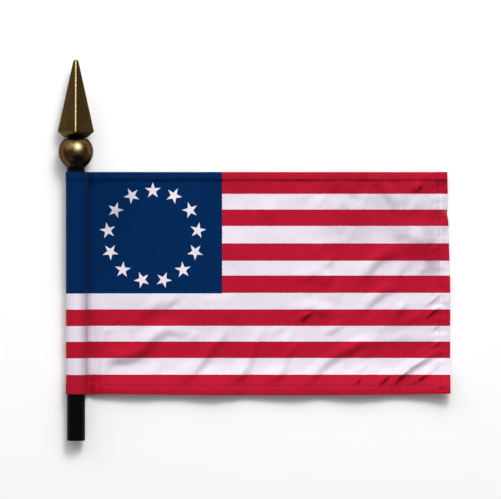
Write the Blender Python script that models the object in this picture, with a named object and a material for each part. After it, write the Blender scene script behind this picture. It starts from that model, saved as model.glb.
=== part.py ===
"""A small stick flag lying face up: cloth with a pole sleeve, a round staff, a spear finial.

Metres, +Z up. The cloth runs from the staff along +X, the finial points along +Y, and the
cloth's printed face looks along +Z. The origin is on the surface that the flag lies on,
under the middle of its box. The finial's ball and the sleeve's lower end both touch that
surface, so the staff leans up a little towards the finial.
"""

import math

import bmesh
import bpy
import numpy as np

MM = 0.001

# Cloth: x is measured from the staff's axis, v from the cloth's lower edge.
FLAG_HEIGHT = 95.6 * MM
FLY_REACH = 160.7 * MM
CLOTH_THICKNESS = 1.0 * MM
HEM_THICKNESS = 1.5 * MM
LONG_HEM_WIDTH = 3.6 * MM
FLY_HEM_WIDTH = 4.4 * MM
HEM_STEP = 0.7 * MM
FLY_SLANT = 1.3 * MM
FLY_SLANT_FROM = 46.0 * MM
NICK_HEIGHT = 78.0 * MM
NICK_DEPTH = 0.5 * MM
NICK_HALF_LENGTH = 2.6 * MM

# Pole sleeve: the cloth goes round the staff and back to a low seam beside it.
PIECE_GAP = 0.3 * MM
SLEEVE_SEGMENTS = 14
SEAM_TOP_ANGLE = math.radians(-20)
SEAM_CROTCH_ANGLE = math.radians(-41)
SEAM_UNDER_ANGLE = math.radians(-62)
SEAM_FLAP_THICKNESS = 1.5 * MM
SEAM_FLAP_END = 9.2 * MM
DROP_END = 13.0 * MM

# Grid of the lying cloth.
COLUMNS_BY_SEAM = (6.2 * MM, 7.7 * MM, SEAM_FLAP_END, 10.4 * MM, 12.4 * MM)
COLUMN_PITCH = 2.5 * MM
LOWER_ROW_PITCH = 2.2 * MM
UPPER_ROW_PITCH = 3.4 * MM
ROWS_CHANGE_AT = 52.0 * MM
FLAT_BELOW = 0.08 * MM

# Staff.
STAFF_RADIUS = 3.9 * MM
STAFF_BELOW_CLOTH = 19.7 * MM
STAFF_SIDES = 32
FOOT_CHAMFER = 0.25 * MM

# Finial: a ball with a short mouth, and a four-sided spear standing on it.
BALL_RADIUS = 7.48 * MM
BALL_CENTRE = 104.3 * MM
BALL_RINGS = 13
MOUTH_RADIUS = 4.75 * MM
MOUTH_AT = 97.8 * MM
SOCKET_END = 106.0 * MM
SPEAR_BASE_AT = 110.3 * MM
SPEAR_BASE_HALF_WIDTH = 5.0 * MM
SPEAR_SHOULDER_AT = 113.0 * MM
SPEAR_HALF_WIDTH = 7.78 * MM
SPEAR_DEPTH_RATIO = 0.88
SPEAR_TIP_HALF_WIDTH = 1.2 * MM
SPEAR_TIP_ROUNDING = 0.86 * MM
SPEAR_LENGTH_END = 143.8 * MM
SPEAR_RINGS = 5
RIDGE_EXPONENT = 1.28
FINIAL_SIDES = 32

# Creases raised in the cloth, each as (x, v) points in millimetres, half width, height.
CREASES = (
    (((9.5, 4.5), (12, 11.5), (16, 16), (22, 16.5), (27.5, 19), (31, 23.5), (34.5, 26.5),
      (39.5, 28.5), (45, 27)), 5.4, 2.2),
    (((27.5, 32), (31.5, 37), (37, 40.5), (43, 42)), 5.0, 1.1),
    (((47, 7.5), (53, 14), (57.5, 19), (61, 23.5), (63, 27.5)), 4.6, 1.7),
    (((68, 3), (70.5, 9), (74.5, 15.5), (76.5, 21.5), (78, 27)), 4.6, 1.6),
    (((84, 3), (87, 9.5), (90, 16.5), (90.5, 22), (93, 26.5)), 4.2, 1.0),
    (((99, 5.5), (103.5, 10.5), (108, 14.5), (114, 18.5), (120.5, 21.5), (127, 23.5)), 4.6, 1.5),
    (((106.5, 26), (111, 28.5), (116, 31)), 4.2, 1.1),
    (((96, 32.5), (100.5, 36)), 3.4, 1.0),
    (((93.5, 49), (102.5, 51.5), (111.5, 49)), 4.6, 0.9),
    (((93, 37), (101.5, 37), (111.5, 34.5)), 4.6, 0.9),
    (((123, 49.5), (126.5, 55.5), (130.5, 59), (136, 61.5)), 4.8, 1.9),
    (((136, 48), (139, 53.5), (143, 57)), 4.0, 0.8),
    (((123.5, 37), (127, 41), (131.5, 44.5), (137, 46.5)), 4.8, 1.8),
    (((137.5, 34), (141, 38.5)), 3.6, 0.7),
    (((135.5, 5.5), (140, 9), (144.5, 12.5), (150, 15.5), (155, 18)), 4.2, 1.7),
    (((129.5, 4.5), (134, 9)), 3.4, 0.9),
    (((146, 6), (150, 9), (154, 12.5)), 3.4, 1.1),
    (((129, 92), (133, 89), (136.5, 84.5), (138.5, 80)), 4.6, 1.0),
    (((145, 88), (149.5, 91.5)), 3.8, 1.0),
)

# Places where the cloth lifts off the surface: x, v, reach and height in millimetres.
LIFTS = (
    (27, 0, 17, 1.4), (59, -1, 16, 1.6), (92, -1, 15, 1.3), (122, -1, 17, 1.8),
    (161, -2, 22, 2.7), (163, 44, 18, 1.4), (162, 96, 21, 2.2), (118, 97, 19, 1.2),
    (70, 97, 20, 1.0), (142, 66, 14, 0.9), (60, 38, 14, 0.7), (150, 30, 13, 0.9),
)


def staff_axis_x():
    """Place of the staff's axis that puts the middle of the box over the origin."""
    return (SPEAR_HALF_WIDTH - FLY_REACH) / 2


def flag_bottom_y():
    """Place of the cloth's lower edge that puts the middle of the box over the origin."""
    return (STAFF_BELOW_CLOTH - SPEAR_LENGTH_END) / 2


def sleeve_outer_radius():
    """Outside of the cloth round the staff."""
    return STAFF_RADIUS + PIECE_GAP + CLOTH_THICKNESS


def staff_slope():
    """Rise of the staff's axis for each metre along it, from the sleeve's end to the ball."""
    return (BALL_RADIUS - sleeve_outer_radius()) / BALL_CENTRE


def axis_height(v):
    """Height of the staff's axis at the distance v from the cloth's lower edge."""
    return sleeve_outer_radius() + staff_slope() * v


def smooth_step(t):
    """Rise from 0 to 1 with level ends."""
    t = np.clip(t, 0.0, 1.0)
    return t * t * (3.0 - 2.0 * t)


def crease_height(x, v, points, half_width, height):
    """A soft rounded ridge along the line through the points, fading out at both ends."""
    points = np.array(points, float) * MM
    starts = points[:-1]
    steps = points[1:] - starts
    lengths = np.hypot(steps[:, 0], steps[:, 1])
    run = np.concatenate(([0.0], np.cumsum(lengths)))
    offset_x = x[..., None] - starts[:, 0]
    offset_v = v[..., None] - starts[:, 1]
    share = (offset_x * steps[:, 0] + offset_v * steps[:, 1]) / lengths ** 2
    share = np.clip(share, 0.0, 1.0)
    distance = np.hypot(offset_x - share * steps[:, 0], offset_v - share * steps[:, 1])
    nearest = distance.argmin(-1)[..., None]
    across = np.take_along_axis(distance, nearest, -1)[..., 0] / (half_width * MM)
    along = np.take_along_axis(run[:-1] + share * lengths, nearest, -1)[..., 0] / run[-1]
    fade = 0.35 + 0.65 * np.sin(math.pi * np.clip(along, 0.0, 1.0))
    return height * MM * fade * 0.5 * (1.0 + np.cos(math.pi * np.clip(across, 0.0, 1.0)))


def underside_height(x, v):
    """Height of the lying cloth's underside: creases and lifts, level where it rests."""
    height = np.zeros_like(x)
    for points, half_width, rise in CREASES:
        height = np.maximum(height, crease_height(x, v, points, half_width, rise))
    for centre_x, centre_v, reach, rise in LIFTS:
        far = np.hypot(x - centre_x * MM, v - centre_v * MM) / (reach * MM)
        height = height + rise * MM * (1.0 - smooth_step(far))
    height = np.maximum(height - FLAT_BELOW, 0.0)
    under_seam = sleeve_outer_radius() * math.cos(SEAM_UNDER_ANGLE)
    seam_height = axis_height(v) + sleeve_outer_radius() * math.sin(SEAM_UNDER_ANGLE)
    drop = 1.0 - smooth_step((x - under_seam) / (DROP_END - under_seam))
    return np.maximum(height * smooth_step(x / DROP_END), seam_height * drop)


def cloth_thickness(x, v):
    """Thickness of the cloth: one layer, with the turned hems and the seam's flap thicker."""
    from_end = np.minimum(v, FLAG_HEIGHT - v)
    in_hem = (from_end < LONG_HEM_WIDTH + HEM_STEP / 2) | (
        x > FLY_REACH - FLY_HEM_WIDTH - HEM_STEP / 2)
    thickness = np.where(in_hem, HEM_THICKNESS, CLOTH_THICKNESS)
    by_seam = x < SEAM_FLAP_END + HEM_STEP / 2
    return np.where(by_seam, np.maximum(thickness, SEAM_FLAP_THICKNESS), thickness)


def even_steps(start, end, pitch):
    """Values from start to end, both with them, about one pitch apart."""
    count = max(1, round((end - start) / pitch))
    return list(np.linspace(start, end, count + 1))


def row_places():
    """Distances of the cloth's rows from its lower edge, close together at the hems."""
    low_hem = LONG_HEM_WIDTH + HEM_STEP
    high_hem = FLAG_HEIGHT - low_hem
    rows = [0.0, LONG_HEM_WIDTH / 2, LONG_HEM_WIDTH]
    rows += even_steps(low_hem, ROWS_CHANGE_AT, LOWER_ROW_PITCH)
    rows += even_steps(ROWS_CHANGE_AT, high_hem, UPPER_ROW_PITCH)[1:]
    rows += [FLAG_HEIGHT - LONG_HEM_WIDTH, FLAG_HEIGHT - LONG_HEM_WIDTH / 2, FLAG_HEIGHT]
    return np.array(rows)


def column_places():
    """Distances of the cloth's columns from the staff's axis, close together at the seams."""
    hem_line = FLY_REACH - FLY_HEM_WIDTH
    columns = list(COLUMNS_BY_SEAM)
    columns += even_steps(COLUMNS_BY_SEAM[-1], hem_line - HEM_STEP, COLUMN_PITCH)[1:]
    columns += [hem_line, FLY_REACH - FLY_HEM_WIDTH / 2, FLY_REACH]
    return np.array(columns)


def fly_edge_pull(x, v):
    """How far the cloth is drawn in near its slanted fly edge and the small nick in it."""
    slant = FLY_SLANT * np.clip((v - FLY_SLANT_FROM) / (FLAG_HEIGHT - FLY_SLANT_FROM), 0.0, 1.0)
    nick = NICK_DEPTH * np.exp(-((v - NICK_HEIGHT) / NICK_HALF_LENGTH) ** 2)
    share = x / FLY_REACH
    return slant * share + nick * share ** 40


def make_material(name, colour, roughness, metallic=0.0):
    """A Principled material of one colour."""
    material = bpy.data.materials.new(name)
    material.use_nodes = True
    shader = material.node_tree.nodes["Principled BSDF"]
    shader.inputs["Base Color"].default_value = (*colour, 1.0)
    shader.inputs["Roughness"].default_value = roughness
    shader.inputs["Metallic"].default_value = metallic
    return material


def add_object(name, bm, material, sharp_angle=math.radians(35)):
    """Put a finished bmesh into the scene as a smooth-shaded object."""
    bmesh.ops.recalc_face_normals(bm, faces=bm.faces)
    mesh = bpy.data.meshes.new(name)
    bm.to_mesh(mesh)
    bm.free()
    mesh.shade_smooth()
    mesh.set_sharp_from_angle(angle=sharp_angle)
    mesh.materials.append(material)
    obj = bpy.data.objects.new(name, mesh)
    bpy.context.collection.objects.link(obj)
    return obj


def bridge(bm, first, second):
    """Faces between two closed rings of vertices with the same count."""
    count = len(first)
    for i in range(count):
        k = (i + 1) % count
        bm.faces.new((first[i], first[k], second[k], second[i]))


def bridge_along_creases(bm, first, second):
    """Triangles between two rings, split the way most creases run: up to the right."""
    count = len(first)
    for i in range(count):
        k = (i + 1) % count
        a, b, c, d = first[i], first[k], second[k], second[i]
        if c.co.x > a.co.x:
            corners = ((a, b, c), (a, c, d))
        else:
            corners = ((a, b, d), (b, c, d))
        for corner in corners:
            bm.faces.new(corner)


def cloth_section(v, columns):
    """One cross-section of the cloth: outer ring of the whole, inner ring of the sleeve.

    The outer ring goes from the seam's top over the staff and under it to the seam's
    underside, out along the underside to the fly edge and back along the face.
    """
    centre_z = axis_height(v)
    end_angle = SEAM_UNDER_ANGLE + 2 * math.pi
    outer_angles = np.linspace(SEAM_TOP_ANGLE, end_angle, SLEEVE_SEGMENTS + 1)
    inner_angles = SEAM_CROTCH_ANGLE + np.linspace(0, 2 * math.pi, SLEEVE_SEGMENTS + 1)[:-1]
    outer_radius = sleeve_outer_radius()
    inner_radius = outer_radius - CLOTH_THICKNESS
    outer = [(outer_radius * math.cos(a), centre_z + outer_radius * math.sin(a))
             for a in outer_angles]
    inner = [(inner_radius * math.cos(a), centre_z + inner_radius * math.sin(a))
             for a in inner_angles]
    rows = np.full_like(columns, v)
    under = underside_height(columns, rows)
    face = under + cloth_thickness(columns, rows)
    places = columns - fly_edge_pull(columns, rows)
    outer += list(zip(places, under))
    outer += list(zip(places[::-1], face[::-1]))
    return outer, inner


def build_cloth(material):
    """The one-piece cloth: lying panel with creases and hems, and the sleeve round the staff."""
    bm = bmesh.new()
    columns = column_places()
    rings = []
    for v in row_places():
        outer, inner = cloth_section(v, columns)
        y = flag_bottom_y() + v
        rings.append([[bm.verts.new((staff_axis_x() + x, y, z)) for x, z in ring]
                      for ring in (outer, inner)])
    for (outer, inner), (next_outer, next_inner) in zip(rings[:-1], rings[1:]):
        bridge_along_creases(bm, outer, next_outer)
        bridge(bm, inner, next_inner)
    for outer, inner in (rings[0], rings[-1]):
        close_cloth_end(bm, outer, inner, len(columns))
    return add_object("flag_cloth", bm, material)


def close_cloth_end(bm, outer, inner, column_count):
    """Faces over one end of the cloth: sleeve wall, seam and panel edge."""
    seam_under = SLEEVE_SEGMENTS
    for i in range(SLEEVE_SEGMENTS):
        k = (i + 1) % SLEEVE_SEGMENTS
        bm.faces.new((outer[i], outer[i + 1], inner[k], inner[i]))
    bm.faces.new((outer[0], inner[0], outer[seam_under]))
    under = [outer[seam_under + i] for i in range(column_count + 1)]
    face = [outer[0]] + [outer[-i] for i in range(1, column_count + 1)]
    for i in range(column_count):
        bm.faces.new((under[i], under[i + 1], face[i + 1], face[i]))


def ring_points(radius_x, radius_z, along, exponent):
    """A ring across the staff's axis: round at exponent 2, four-sided below it."""
    points = []
    for i in range(FINIAL_SIDES):
        angle = 2 * math.pi * i / FINIAL_SIDES
        x = math.copysign(abs(math.cos(angle)) ** (2 / exponent), math.cos(angle))
        z = math.copysign(abs(math.sin(angle)) ** (2 / exponent), math.sin(angle))
        points.append((radius_x * x, along, radius_z * z))
    return points


def turned_body(bm, rings, first_pole, last_pole):
    """Skin over a row of rings, closed by a fan to a pole at each end."""
    loops = [[bm.verts.new(point) for point in ring] for ring in rings]
    for first, second in zip(loops[:-1], loops[1:]):
        bridge(bm, first, second)
    for loop, pole in ((loops[0], first_pole), (loops[-1], last_pole)):
        tip = bm.verts.new((0.0, pole, 0.0))
        for i, vertex in enumerate(loop):
            bm.faces.new((vertex, loop[(i + 1) % len(loop)], tip))


def ball_rings():
    """Rings of the ball from its mouth to the place where the spear stands."""
    start = math.asin(MOUTH_RADIUS / BALL_RADIUS) - math.pi
    end_radius = math.sqrt(BALL_RADIUS ** 2 - (SPEAR_BASE_AT - BALL_CENTRE) ** 2)
    end = -math.asin(end_radius / BALL_RADIUS)
    rings = []
    for angle in np.linspace(start, end, BALL_RINGS):
        radius = -BALL_RADIUS * math.sin(angle)
        along = BALL_CENTRE + BALL_RADIUS * math.cos(angle)
        rings.append(ring_points(radius, radius, along, 2.0))
    return rings


def spear_rings():
    """Rings of the spear: sloped underside, wide shoulder, straight taper, rounded tip."""
    start = SPEAR_SHOULDER_AT
    end = SPEAR_LENGTH_END - SPEAR_TIP_ROUNDING
    profile = [(SPEAR_BASE_AT, SPEAR_BASE_HALF_WIDTH)]
    for share in np.linspace(0.0, 1.0, SPEAR_RINGS):
        half = SPEAR_HALF_WIDTH + share * (SPEAR_TIP_HALF_WIDTH - SPEAR_HALF_WIDTH)
        profile.append((start + share * (end - start), half))
    profile.append((end + 0.7 * SPEAR_TIP_ROUNDING, 0.7 * SPEAR_TIP_HALF_WIDTH))
    return [ring_points(half, half * SPEAR_DEPTH_RATIO, along, RIDGE_EXPONENT)
            for along, half in profile]


def build_finial(material):
    """Ball and spear as one cast body with a blind socket for the staff."""
    socket_radius = STAFF_RADIUS + PIECE_GAP
    rings = [
        ring_points(socket_radius, socket_radius, SOCKET_END, 2.0),
        ring_points(socket_radius, socket_radius, MOUTH_AT, 2.0),
        ring_points(MOUTH_RADIUS, MOUTH_RADIUS, MOUTH_AT, 2.0),
    ]
    rings += ball_rings() + spear_rings()
    bm = bmesh.new()
    turned_body(bm, rings, SOCKET_END, SPEAR_LENGTH_END)
    return add_object("spear_finial", bm, material)


def build_staff(material):
    """Round dowel from its sawn foot into the finial's socket."""
    foot = -STAFF_BELOW_CLOTH
    top = SOCKET_END - PIECE_GAP
    bm = bmesh.new()
    bmesh.ops.create_cone(bm, cap_ends=True, segments=STAFF_SIDES, radius1=STAFF_RADIUS,
                          radius2=STAFF_RADIUS, depth=top - foot)
    foot_edges = [edge for edge in bm.edges
                  if all(vertex.co.z < 0 for vertex in edge.verts)]
    bmesh.ops.bevel(bm, geom=foot_edges, offset=FOOT_CHAMFER, segments=1, affect="EDGES")
    for vertex in bm.verts:
        x, y, z = vertex.co
        vertex.co = (x, z + (top + foot) / 2, -y)
    return add_object("staff", bm, material)


def build_axis():
    """Empty on the staff's axis at the cloth's lower edge, leaning up to the finial."""
    axis = bpy.data.objects.new("staff_axis", None)
    bpy.context.collection.objects.link(axis)
    axis.location = (staff_axis_x(), flag_bottom_y(), axis_height(0.0))
    axis.rotation_euler = (math.atan(staff_slope()), 0.0, 0.0)
    return axis


def main():
    for obj in list(bpy.data.objects):
        bpy.data.objects.remove(obj, do_unlink=True)
    polyester = make_material("printed_polyester", (0.78, 0.72, 0.80), 0.72)
    black_paint = make_material("black_paint", (0.004, 0.005, 0.005), 0.35)
    dark_brass = make_material("dark_brass", (0.10, 0.065, 0.025), 0.32, metallic=1.0)
    build_cloth(polyester)
    axis = build_axis()
    build_staff(black_paint).parent = axis
    build_finial(dark_brass).parent = axis


if __name__ == "__main__":
    main()
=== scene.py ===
"""Dresses a small stick flag: sewn and creased cloth, thread, painted staff, brass finial.

The flag lies face up. +X runs along the cloth away from the staff, +Y to the finial and
+Z up out of the printed face. Lengths in the code are millimetres unless a name ends in
_M, and they become metres when a mesh or a shader is made.
"""

import math

import bpy
import numpy as np
from bpy.props import FloatProperty, FloatVectorProperty, PointerProperty
from bpy.types import Operator, Panel, PropertyGroup
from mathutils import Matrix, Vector


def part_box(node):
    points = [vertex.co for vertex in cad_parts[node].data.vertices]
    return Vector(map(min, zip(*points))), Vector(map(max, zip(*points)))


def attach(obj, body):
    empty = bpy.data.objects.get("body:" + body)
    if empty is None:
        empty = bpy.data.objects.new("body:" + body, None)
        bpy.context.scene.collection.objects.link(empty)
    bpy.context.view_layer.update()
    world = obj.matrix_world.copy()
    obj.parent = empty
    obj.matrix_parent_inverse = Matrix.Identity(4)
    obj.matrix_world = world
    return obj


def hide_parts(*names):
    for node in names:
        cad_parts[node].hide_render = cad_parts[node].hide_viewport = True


bl_info = {
    "name": "Stick Flag",
    "version": (1, 0, 0),
    "blender": (4, 5, 0),
    "location": "3D View > Sidebar > Stick Flag",
    "description": "Sewn cloth, thread, staff and finial of a small stick flag lying face up",
    "category": "Add Mesh",
}

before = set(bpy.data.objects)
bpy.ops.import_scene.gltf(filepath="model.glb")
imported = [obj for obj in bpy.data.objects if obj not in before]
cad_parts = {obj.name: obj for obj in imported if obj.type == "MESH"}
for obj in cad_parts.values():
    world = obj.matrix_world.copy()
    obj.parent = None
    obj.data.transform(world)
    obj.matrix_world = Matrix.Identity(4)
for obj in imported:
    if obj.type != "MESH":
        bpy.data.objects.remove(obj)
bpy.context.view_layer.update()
MM = 0.001


def node_box(node):
    """Lowest and highest corner of a solid of the frame, in millimetres."""
    low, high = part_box(node)
    return np.array(low) / MM, np.array(high) / MM


CLOTH_LOW, CLOTH_HIGH = node_box("flag_cloth")
STAFF_LOW, STAFF_HIGH = node_box("staff")

# The staff's axis and the cloth's lower edge; x and y below are measured from these.
AXIS_X = (STAFF_LOW[0] + STAFF_HIGH[0]) / 2
BOTTOM_Y = CLOTH_LOW[1]
FLAG_HEIGHT = CLOTH_HIGH[1] - CLOTH_LOW[1]
FLY_REACH = CLOTH_HIGH[0] - AXIS_X
STAFF_RADIUS = (STAFF_HIGH[0] - STAFF_LOW[0]) / 2

# The staff leans from the sleeve's lower end up to the ball; both touch the surface.
SLEEVE_OUTER_RADIUS = 5.2
BALL_RADIUS = 7.48
BALL_CENTRE = 104.3
SLOPE = (BALL_RADIUS - SLEEVE_OUTER_RADIUS) / BALL_CENTRE
LEAN = math.atan(SLOPE)

# Hems: widths, the seams' distance from the inner edge, the raw edge's distance from the
# fold, and how far and how softly the layers beneath show past the inner edge.
TOP_HEM = 3.7
BOTTOM_HEM = 4.3
FLY_HEM = 4.7
STITCH_INSET = 0.45
RAW_EDGE_INSET = 0.5
FLY_RAW_EDGE_INSET = 0.6
HEM_MARGIN = 0.3
HEM_SOFTNESS = 0.9

# The sleeve's seam and its flap, from the staff's axis.
SEAM_X = 6.1
FLAP_END = 8.9
FLAP_RAW_EDGE = 6.5

# How far the stitches lie from the sleeve's seam line, and how far each seam ends from the
# sleeve's flap or from the cloth's ends.
SLEEVE_STITCH_INSET = 0.1
HEM_SEAM_START = 0.8
FLY_SEAM_END = 1.2
SLEEVE_SEAM_END = 0.9

# The sewing's relief: groove under the thread and low shoulder beside it, each as height and
# reach; the gathers' reach, their height at each seam, and their waves as radians to a
# millimetre, shift from seam to seam, and shift.
SEAM_GROOVE = (0.34, 0.55)
SEAM_SHOULDER = (0.26, 3.4)
GATHER_REACH = 3.2
SEAM_GATHERS = (0.05, 0.09, 0.13, 0.03)
GATHER_WAVES = ((1.05, 1.0, 0.0), (1.71, 2.1, 0.0), (0.63, 0.0, 0.7))

# The sleeve round the staff: room inside it, what each layer adds, and the angles at which
# the cloth leaves the staff underneath and meets it again above.
SLEEVE_ROOM = 0.32
SLEEVE_LAYER = 0.07
SLEEVE_LEAVES = -118.0
SLEEVE_MEETS = 12.0

# Handles of the curves between seam and staff, at the seam and at the staff, below and
# above, and how far the upper curve starts above the seam.
LOWER_HANDLES = (2.4, 2.2)
UPPER_HANDLES = (1.5, 3.5)
UPPER_RISE = 0.08

# The cloth's grid: rows up its lower and upper part, columns round the sleeve and over the
# three parts of the panel, and where these parts meet.
LOWER_ROWS = 74
UPPER_ROWS = 44
ROWS_MEET = 46.0
SLEEVE_COLUMNS = 36
PANEL_COLUMNS = (11, 78, 122)
PANEL_MEETS = (12.0, 84.0)

# How the cloth rests: room under it, how softly its relief meets the level, how far the
# relief is sunk, and where it starts beside the sleeve.
UNDER_CLEARANCE = 0.09
REST_SOFTNESS = 0.12
RELIEF_SINK = 0.08
RELIEF_FROM = 4.0
RELIEF_RUN = 9.0

# Drawn-in fly edge with its small nick, and the power by which the nick falls off inwards.
FLY_SLANT = 1.3
FLY_SLANT_FROM = 46.0
NICK_HEIGHT = 78.0
NICK_DEPTH = 0.5
NICK_HALF_LENGTH = 2.6
NICK_FALL = 40

# Main creases: (x, y) points, half width, height. They are the solid's own.
CREASES = (
    (((9.5, 4.5), (12, 11.5), (16, 16), (22, 16.5), (27.5, 19), (31, 23.5), (34.5, 26.5),
      (39.5, 28.5), (45, 27)), 5.4, 2.2),
    (((27.5, 32), (31.5, 37), (37, 40.5), (43, 42)), 5.0, 1.1),
    (((47, 7.5), (53, 14), (57.5, 19), (61, 23.5), (63, 27.5)), 4.6, 1.7),
    (((68, 3), (70.5, 9), (74.5, 15.5), (76.5, 21.5), (78, 27)), 4.6, 1.6),
    (((84, 3), (87, 9.5), (90, 16.5), (90.5, 22), (93, 26.5)), 4.2, 1.0),
    (((99, 5.5), (103.5, 10.5), (108, 14.5), (114, 18.5), (120.5, 21.5), (127, 23.5)), 4.6, 1.5),
    (((106.5, 26), (111, 28.5), (116, 31)), 4.2, 1.1),
    (((96, 32.5), (100.5, 36)), 3.4, 1.0),
    (((93.5, 49), (102.5, 51.5), (111.5, 49)), 4.6, 0.9),
    (((93, 37), (101.5, 37), (111.5, 34.5)), 4.6, 0.9),
    (((123, 49.5), (126.5, 55.5), (130.5, 59), (136, 61.5)), 4.8, 1.9),
    (((136, 48), (139, 53.5), (143, 57)), 4.0, 0.8),
    (((123.5, 37), (127, 41), (131.5, 44.5), (137, 46.5)), 4.8, 1.8),
    (((137.5, 34), (141, 38.5)), 3.6, 0.7),
    (((135.5, 5.5), (140, 9), (144.5, 12.5), (150, 15.5), (155, 18)), 4.2, 1.7),
    (((129.5, 4.5), (134, 9)), 3.4, 0.9),
    (((146, 6), (150, 9), (154, 12.5)), 3.4, 1.1),
    (((129, 92), (133, 89), (136.5, 84.5), (138.5, 80)), 4.6, 1.0),
    (((145, 88), (149.5, 91.5)), 3.8, 1.0),
)

# Where the cloth lifts off the surface: x, y, reach, height. They are the solid's own.
LIFTS = (
    (27, 0, 17, 1.4), (59, -1, 16, 1.6), (92, -1, 15, 1.3), (122, -1, 17, 1.8),
    (161, -2, 22, 2.7), (163, 44, 18, 1.4), (162, 96, 21, 2.2), (118, 97, 19, 1.2),
    (70, 97, 20, 1.0), (142, 66, 14, 0.9), (60, 38, 14, 0.7), (150, 30, 13, 0.9),
)

# Low wrinkles between the creases: (x, y) points, half width, height.
WRINKLES = (
    (((26, 5), (31, 9.3), (37.4, 13.6)), 4.2, 0.7),
    (((48.2, 6.4), (51, 10), (54.6, 15)), 4, 0.7),
    (((65.4, 5.7), (71.1, 8.8), (76.1, 11.4)), 3.8, 0.6),
    (((80.4, 5.7), (86.1, 8.6), (93.3, 12.9)), 3.8, 0.6),
    (((49.6, 22.9), (51.8, 27.2)), 2.6, 0.5),
    (((116.2, 18.6), (127.7, 22.6), (142, 24.7), (153.5, 23.6)), 3.8, 0.4),
    (((91.9, 17.2), (95.5, 22.9)), 2.8, 0.6),
    (((107.6, 88.8), (114.8, 91)), 2.6, 0.4),
    (((117.7, 88.8), (124.1, 84.5)), 2.8, 0.5),
    (((137.7, 72.3), (144.9, 74.5)), 3.2, 0.5),
    (((113.4, 64.4), (119.1, 68.7)), 3.2, 0.4),
    (((144.9, 50.1), (150.6, 55.8)), 3.2, 0.6),
    (((152.1, 75.9), (155.6, 80.2)), 1.8, 0.4),
    (((150.6, 64.4), (154.9, 68)), 1.8, 0.4),
    (((14.5, 30), (20.2, 34.3)), 3.2, 0.5),
    (((8.8, 25.8), (15.9, 28.6)), 3, 0.5),
    (((54.6, 40.1), (61.8, 41.5)), 3.2, 0.35),
    (((70.4, 28.6), (73.2, 32.9)), 2.8, 0.4),
    (((84.7, 25.8), (89, 30)), 2.8, 0.4),
    (((139.2, 30), (147.8, 34.3)), 3, 0.6),
    (((136.3, 34.3), (142, 40.1)), 3, 0.5),
    (((120.5, 10), (126.3, 13.6)), 2.4, 0.5),
    (((153.5, 11.4), (157.8, 14.3)), 1.8, 0.5),
    (((144.9, 17.2), (152.1, 20)), 2.2, 0.6),
    (((36, 35.8), (43.2, 41.5)), 2.8, 0.5),
    (((10.4, 1), (10, 22), (10.5, 46)), 4, 0.9),
)

# Round swells between the creases: x, y, reach, height.
SWELLS = (
    (68.2, 78.8, 5.5, 0.55), (84, 78.8, 5.5, 0.55), (122, 79, 10, 1.1),
    (144, 81, 9, 1), (148, 68, 11, 1.2), (106, 58, 9, 0.6),
    (20, 40, 7, 0.5), (98, 86, 7, 0.6), (74, 60, 12, 0.4),
    (47, 10, 6, 0.6), (69, 9, 6.5, 0.7), (85, 8.5, 6, 0.7),
    (112, 44, 6, 0.7), (128, 30, 7, 0.6), (24, 31, 6, 0.5),
)

# Gain of the creases' and wrinkles' height, width of their steep side and height of their
# ends, both as shares.
CREASE_GAIN = 1.2
WRINKLE_GAIN = 1.2
STEEP_SIDE_SHARE = 0.85
CREASE_END_SHARE = 0.35

# Ripples, long ones and short ones: how many, range of wavelengths, spread of headings in
# degrees and height as a share of the wavelength; their mean heading; and where the short
# ones grow from their share beside the staff to full height.
RIPPLES = (
    (14, (11.0, 34.0), 45.0, 0.0026),
    (20, (4.5, 9.0), 28.0, 0.0078),
)
RIPPLE_HEADING = -40.0
SHORT_FROM = 40.0
SHORT_RUN = 70.0
SHORT_INNER_SHARE = 0.4

# The lower edge curls up 2 to 3 mm higher than the solid's, and sags in plan between its ends.
EDGE_CURL = 3.0
EDGE_CURL_REACH = 14.0
EDGE_SAG_X = (-6.0, 20.0, 60.0, 105.0, 140.0, 161.0)
EDGE_SAG_Y = (0.3, 0.25, -0.15, -0.1, 0.15, 0.55)
EDGE_SAG_REACH = 9.0

# Sharp little pinches: (x, y) points, half width, height.
PINCHES = (
    (((96.9, 32.2), (98.8, 34), (100.9, 35)), 1.4, 1.5),
    (((150.6, 33.2), (153.6, 36), (156.4, 37.9)), 1.3, 1.5),
    (((150.8, 38.6), (153.8, 41), (156.3, 43.2)), 1.3, 0.8),
    (((152.6, 20.2), (154.6, 21.4), (156.3, 23.4)), 1.2, 0.9),
    (((137, 5.2), (139.8, 8.2), (142.4, 10.4)), 1.3, 1.6),
    (((142.4, 10.6), (147, 13.4), (152.5, 17)), 1.5, 0.8),
    (((130.8, 4.8), (132.8, 6.9), (134.6, 8.2)), 1.2, 1.3),
    (((120.2, 4.8), (121.8, 6.8)), 1.1, 1.4),
    (((146.8, 6.2), (148.8, 7.6), (150.2, 8.8)), 1.2, 1.4),
    (((144.2, 4.4), (146.8, 6.6)), 1.1, 0.6),
    (((145.9, 87.2), (148, 89.4), (149.6, 89.9)), 1.5, 1.5),
    (((156.6, 2.6), (158.8, 4.3)), 1.1, 0.7),
    (((153.8, 62.2), (156.2, 64)), 1.2, 0.7),
    (((152.9, 27.6), (156, 30.4)), 1.1, 0.6),
    (((153, 12.6), (156.8, 15.2)), 1.2, 0.7),
)

# Painted shade on the shaded side of a pinch: distance from its line, width, the pinch
# height that holds most, the share of the tone it takes, and what it takes besides where
# there is ink.
PINCH_SHADE_SHIFT = 0.45
PINCH_SHADE_WIDTH = 0.55
PINCH_SHADE_FULL_RISE = 1.5
PINCH_SHADE_DEPTH = 0.2
PINCH_SHADE_INK_DEPTH = 0.36

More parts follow.
